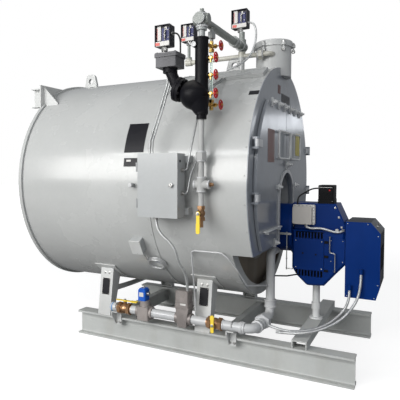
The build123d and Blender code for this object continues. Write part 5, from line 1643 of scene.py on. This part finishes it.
@dataclass
class GasTrain:
    """Pipe, cocks, solenoid valve and motor valve along the near side."""

    pipe: tuple[float, float] = (-570.0, 265.0)
    solenoid_x: float = -372.0
    actuator_x: float = -68.0
    riser_x: float = 413.0

    def bands(self) -> None:
        """Raised bands at the ends of elbows and couplings, and thread ends."""
        y, z = self.pipe
        former = Former().use(PIPE_GREY)
        for x in (-646, -304, -128, 212, 318, 340):
            former.lathe((x - 5, y, z), ALONG, [(0, 30.1), (0.6, 32.6), (2, 33.2), (8, 33.2), (9.4, 32.6),
                                                (10, 30.1)], 28)
        x = self.riser_x
        for axis, place in ((ACROSS, (x, -512, z)), (ACROSS, (x, -470, z)), (UP, (x, -200, 318)),
                            (UP, (x, -200, 362)), (ALONG, (332, y, z))):
            former.lathe(place, axis, [(0, 37.1), (1, 39.6), (3, 40.6), (9, 40.6), (11, 39.6), (12, 37.1)], 28)
        former.use(BRONZE)
        for x in (-598, -492, 98, 204):
            former.lathe((x, y, z), ALONG, [(0, 30.2), (0.5, 30.7), (9.5, 30.7), (10, 30.2)], 28)
        former.make("pipe_bands", Slot.GREY)

    def tape(self) -> None:
        """Blue tape round the open end of the pipe."""
        y, z = self.pipe

        def wound(gone: float, angle: float) -> float:
            """Radius of the tape, with a slight ripple."""
            return 31.4 + 0.35 * math.sin(3 * angle + gone * 0.3)

        Former().use(TAPE).tube([(x, y, z) for x in range(-653, -633, 3)], wound, 28, capped=False).make(
            "inlet_tape", Slot.CASE)

    def coil(self) -> None:
        """The blue coil of the solenoid valve with its face plate and outlet."""
        y = self.pipe[0]
        x = self.solenoid_x
        former = Former().use(BLUE_COIL)
        former.plate((x - 12, y, 347.3), ALONG, ACROSS, rounded(60, 68, 9), 78, 3)
        former.plate((x - 12, y, 425), ALONG, ACROSS, rounded(50, 58, 9), 8, 2.5)
        former.use(PALE).plate((x - 12, y - 34, 392), ALONG, UP, rounded(34, 30, 3), 1.2, 0.3)
        former.use(STEEL).lathe((x + 17, y, 395), ALONG, [(0, 14), (10, 14), (11, 12), (17, 12), (17, 0)], 18)
        former.bolt((x - 12, y, 433), UP, 14, 7)
        piece = former.make("solenoid_coil", Slot.CASTING)
        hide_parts("gas_actuators")

    def head(self) -> None:
        """The motor valve's grey head with its cover, screws and bare plate."""
        y = self.pipe[0]
        x = self.actuator_x
        former = Former().use(WARM_CASTING)
        former.plate((x + 1, y - 5, 349.3), ALONG, ACROSS, rounded(98, 90, 9), 30, 2)
        former.plate((x + 1, y - 5, 380.3), ALONG, ACROSS, rounded(95, 87, 11), 80.4, 5)
        former.use(PALE).plate((x + 14, y - 50, 371), ALONG, UP, rounded(40, 13, 2), 1.2, 0.3)
        former.use(STEEL)
        for a, b in corners(38, 34):
            former.screw((x + 1 + a, y - 5 + b, 460.4), UP, 3.2)
        piece = former.make("actuator_case", Slot.CASTING)
        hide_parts("gas_actuators")

    def bolts(self) -> None:
        """Cover bolts of the two valve bodies."""
        y = self.pipe[0]
        former = Former().use(STEEL)
        for a, b in corners():
            former.bolt((self.solenoid_x + a * 35, y + b * 35, 307), UP, 11, turn=20)
            former.bolt((self.actuator_x + a * 44, y - 6 + b * 36, 349), UP, 8, 3, turn=20, washer=False)
        former.make("valve_bolts", Slot.STEEL)

    def nut(self, name: str, origin: Point, axis: Point, body: str) -> None:
        """The nut that holds a lever on its stem."""
        Former().use(STEEL).bolt(origin, axis, 13, 6, stud=2).make(name, Slot.STEEL, body)

    def build(self) -> None:
        """Dress the gas train and add its pieces."""
        dress({"gas_pipe": PIPE_GREY, "ball_valves": BRONZE, "gas_handle_rear": YELLOW, "gas_handle_front": YELLOW,
               "gas_valves": WARM_CASTING, "drain_lever": YELLOW})
        self.bands()
        self.tape()
        self.coil()
        self.head()
        self.bolts()
        self.nut("rear_handle_nut", (-540, -570, 326), UP, "gas_handle_rear")
        self.nut("front_handle_nut", (156, -631, 265), NEAR, "gas_handle_front")
        self.nut("drain_lever_nut", (178, -910, 1008), NEAR, "drain_lever")


@dataclass
class Column:
    """Water column with its float chamber, cocks, gauge glass and handwheels."""

    switch: tuple[float, float] = (-29.0, -860.0)
    chamber: Point = (132.0, -860.0, 1705.0)
    flange_reach: float = 82.0
    flange_depth: float = 38.0
    flange_circle: float = 58.0
    flange_bolt_count: int = 8
    wheels: dict[str, Point] = field(default_factory=lambda: {
        "handwheel_gauge_top": (253, -745, 2004), "handwheel_try_top": (267, -860, 1911),
        "handwheel_try_middle": (267, -860, 1812), "handwheel_try_bottom": (267, -860, 1706),
        "handwheel_gauge_bottom": (253, -745, 1654)})

    def flange_bolts(self) -> None:
        """Bolts round the float chamber's flange, the pale plug and the rim of the column's head."""
        axis = Vector((-0.93, 0, 0.37)).normalized()
        u, v = across_of(axis)
        centre = Vector(self.chamber) + axis * self.flange_reach
        former = Former().use(BLACK_IRON)
        for k in range(self.flange_bolt_count):
            angle = 2 * math.pi * (k + 0.5) / self.flange_bolt_count
            offset = (u * math.cos(angle) + v * math.sin(angle)) * self.flange_circle
            former.bolt(centre + axis * self.flange_depth + offset, axis, 15, stud=4, turn=15 * k)
            former.bolt(centre + offset, -axis, 15, turn=15 * k)
        former.use(PIPE_GREY).lathe((146, -904, 1990), NEAR, [(0, 15.5), (3, 15.5), (4.5, 14), (4.5, 9), (2, 8),
                                                              (2, 0)], 24)
        former.use(BLACK_IRON).lathe((178, -860, 2033), UP, [(-10, 40.5), (-9, 42), (-2, 42), (0, 40.5), (0, 33)], 32)
        former.make("column_bolts", Slot.IRON)

    def wheel_nuts(self) -> None:
        """A small nut in the middle of each handwheel."""
        for name, place in self.wheels.items():
            former = Former().use(BRASS)
            former.bolt(Vector(place) + ALONG * 7, ALONG, 9, 4, stud=3)
            former.make(name + "_nut", Slot.BRASS, name)

    def switch_case(self) -> None:
        """The float switch's cast case with its lid, front strip and bolts."""
        x, y = self.switch
        former = Former().use(SWITCH_GREY)
        former.plate((x, y, 1876.3), ALONG, ACROSS, rounded(138, 124, 9), 60, 1.5)
        former.plate((x, y, 1935.5), ALONG, ACROSS, rounded(150, 136, 10), 26.5, 4)
        former.plate((x, y - 68, 1949), ALONG, UP, rounded(128, 5, 2), 1.6, 0.6)
        former.use(BLACK_IRON)
        for a, b in corners():
            former.bolt((x + a * 60, y + b * 53, 1962), UP, 9, turn=a * 20)
        piece = former.make("switch_case", Slot.IRON)
        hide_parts("switch_box")

    def build(self) -> None:
        """Dress the column and add its pieces."""
        dress({"water_column": BLACK_IRON, "float_flange": BLACK_IRON,
               "column_cocks": BRASS, "gauge_glass": GAUGE_CLEAR})
        dress({name: RED for name in self.wheels})
        self.flange_bolts()
        self.wheel_nuts()
        self.switch_case()


@dataclass
class Piping:
    """Steam pipes, drain line, conduits and pilot line."""

    riser: tuple[float, float] = (178.0, -860.0)
    header_z: float = 2136.0
    drain_z: float = 1178.0
    steam: tuple[float, float] = (-150.0, 2068.0)

    def bands(self) -> None:
        """Raised bands on the threaded fittings, and the drain's plug."""
        former = Former().use(PIPE_GREY)
        x, y = self.riser
        steam_y, steam_z = self.steam

        def ring(place: Point, axis: Point, radius: float) -> None:
            """One raised band."""
            former.lathe(place, axis, [(0, radius), (0.8, radius + 2), (2.5, radius + 2.8), (7.5, radius + 2.8),
                                       (9.2, radius + 2), (10, radius)], 28)

        for z, radius in ((2090, 32), (2160, 32), (1312, 25.5), (1366, 25.5), (1132, 25.5), (1214, 25.5)):
            ring((x, y, z), UP, radius)
        for place, radius in ((-908, 32), (-822, 32), (-330, 33), (-282, 33), (-194, 33), (-130, 33)):
            ring((x, place, self.header_z), ACROSS, radius)
        for place in (134, 224):
            ring((place, y, self.drain_z), ALONG, 25)
        for place in (294, 326):
            ring((place, steam_y, steam_z), ALONG, 27)
        former.make("fitting_bands", Slot.GREY)
        former = Former().use(BRONZE)
        former.lathe((234, y, self.drain_z), ALONG, [(0, 14), (6, 14), (7, 11), (20, 11), (20, 0)], 6)
        former.make("drain_plug", Slot.BRASS)

    def build(self) -> None:
        """Dress the pipes and add the bands and the plug."""
        dress({"steam_piping": STEAM_GREY, "drain_line": DRAIN_GREY, "control_conduits": CONDUIT,
               "pilot_line": PIPE_GREY})
        self.bands()


@dataclass
class PressureControls:
    """The three pressure controls, open at the front above their pale lower strip."""

    height: float = 128.0
    depth: float = 69.0
    places: tuple[tuple[Point, float], ...] = (((-67, -860, 2008), 102), ((-234, -150, 2224.3), 108),
                                               ((166, -150, 2264.3), 114))

    def control(self, former: Former, place: Point, width: float) -> None:
        """One control: case, scale, lever works and the boss of its pipe.

        Args:
            former: what the faces go into.
            place: the middle of its lower edge.
            width: its width.
        """
        x, y, z = place
        front = y - self.depth / 2
        half = width / 2
        former.use(CASE_DARK)
        former.plate((x, y + self.depth / 2, z + self.height / 2), ALONG, UP, rounded(width, self.height, 5),
                     self.depth - 22, 1.5)
        for side in (-1, 1):
            former.plate((x + side * (half - 1.8), y - 8, z + self.height / 2), ALONG, UP,
                         rounded(3.6, self.height, 1.2), y - front - 9, 0.6)
        former.plate((x, y - 8, z + self.height - 2), ALONG, UP, rounded(width, 4, 1.5), y - front - 9, 0.6)
        inner = y + self.depth / 2 - (self.depth - 22)
        former.use(PALE).plate((x, inner, z + 16), ALONG, UP, rounded(width - 8, 28, 2), 17, 1)
        former.plate((x - 29, inner, z + 80), ALONG, UP, rounded(28, 86, 2), 6, 0.8)
        former.plate((x + 20, inner, z + 106), ALONG, UP, rounded(12, 22, 2), 8, 0.8)
        former.use(CASE_BLUE).plate((x + 16, inner, z + 70), ALONG, UP, rounded(52, 78, 4), 5, 1)
        former.use(RUST_RED).plate((x - 33, inner - 17, z + 14), ALONG, UP, rounded(30, 18, 3), 1.6, 0.5)
        former.plate((x - 40, inner - 6, z + 78), ALONG, UP, rounded(3, 70, 1), 1.0, 0.3)
        former.use(STEEL)
        former.tube([(x + 14, inner - 12, z + 34), (x + 14, inner - 12, z + 112)], 2.6, 10)
        for k in range(8):
            former.lathe((x + 14, inner - 12, z + 46 + 6 * k), UP, [(0, 5.5), (1.2, 7), (3.4, 7), (4.6, 5.5)], 14)
        former.screw((x + 34, inner - 5, z + 98), NEAR, 4).screw((x + 34, inner - 5, z + 52), NEAR, 4)
        former.bolt((x - 30, y - 4, z + self.height), UP, 9, 5).bolt((x + 12, y - 4, z + self.height), UP, 9, 5)
        former.lathe((x, y, z - 26), UP, [(0, 18), (1, 20), (25, 20), (26, 20)], 6)

    def build(self) -> None:
        """Make the three controls."""
        former = Former()
        for place, width in self.places:
            self.control(former, place, width)
        (x, y, z), width = self.places[0]
        former.use(STEEL).tube([(x, y, z - 45.7), (x, y, z - 18)], 10, 16)
        former.lathe((x + width / 2 - 2, y, z + 76), ALONG, [(0, 12), (8, 12), (8.3, 10.5), (8.3, 0)], 16)
        (x, y, z), width = self.places[2]
        former.lathe((x + width / 2 - 1, y, z + 35.7), ALONG, [(0, 12), (1.2, 12), (1.3, 0)], 16)
        piece = former.make("pressure_control_cases", Slot.CASE)
        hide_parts("pressure_controls")


@dataclass
class ControlCabinet:
    """Wall cabinet on the near side of the jacket."""

    right: float = 64.0
    low: float = 979.0
    high: float = 1362.0
    door_face: float = -950.3
    lock: tuple[float, float] = (27.0, 1173.0)

    def door(self) -> None:
        """The door's round lock with its key slot."""
        former = Former().use(STEEL)
        x, z = self.lock
        former.lathe((x, self.door_face - 9.9, z), NEAR, [(0, 13.4), (1.5, 13.4), (2.4, 12), (2.4, 0)], 24)
        former.plate((x, self.door_face - 12, z), ALONG, UP, rounded(6, 21, 2), 4.6, 1)
        former.make("cabinet_lock", Slot.STEEL, "cabinet_door")

    def hubs(self) -> None:
        """Conduit hubs on the cabinet's side and underside, and blind plugs."""
        former = Former().use(STEEL)
        for z in (1262, 1124):
            former.lathe((self.right, -885, z), ALONG, [(0, 15), (3, 15), (3.5, 10), (14, 10), (15, 8), (15, 6)], 16)
        former.lathe((-104, -900, self.low), -UP, [(0, 17), (4, 17), (4.5, 13), (20, 13), (21, 10.5)], 16)
        former.lathe((self.right, -923, 1034), ALONG, [(0, 9), (2, 9), (2.6, 7), (2.6, 0)], 16)
        for x in (-166, -146):
            former.lathe((x, -870, self.high), UP, [(0, 9), (3, 9), (3.5, 7), (10, 7), (10, 5.6)], 14)
        former.use(BLACK)
        former.lathe((self.right, -912, 1316), ALONG, [(0, 8), (1.6, 8), (1.6, 0)], 16)
        former.make("cabinet_hubs", Slot.STEEL)

    def build(self) -> None:
        """Dress the cabinet and add its pieces."""
        dress({"control_cabinet": BOX_GREY, "cabinet_door": BOX_GREY})
        self.door()
        self.hubs()


def main() -> None:
    """Build the studio, the cords and every sub-assembly."""
    logging.basicConfig(level=logging.INFO, format="%(message)s")
    for part in (Studio(), Cords(), Skid(), Vessel(), Smokebox(), Burner(), GasTrain(), Column(), Piping(),
                 PressureControls(), ControlCabinet()):
        part.build()
        LOG.info("built %s", type(part).__name__)


if __name__ == "__main__":
    main()
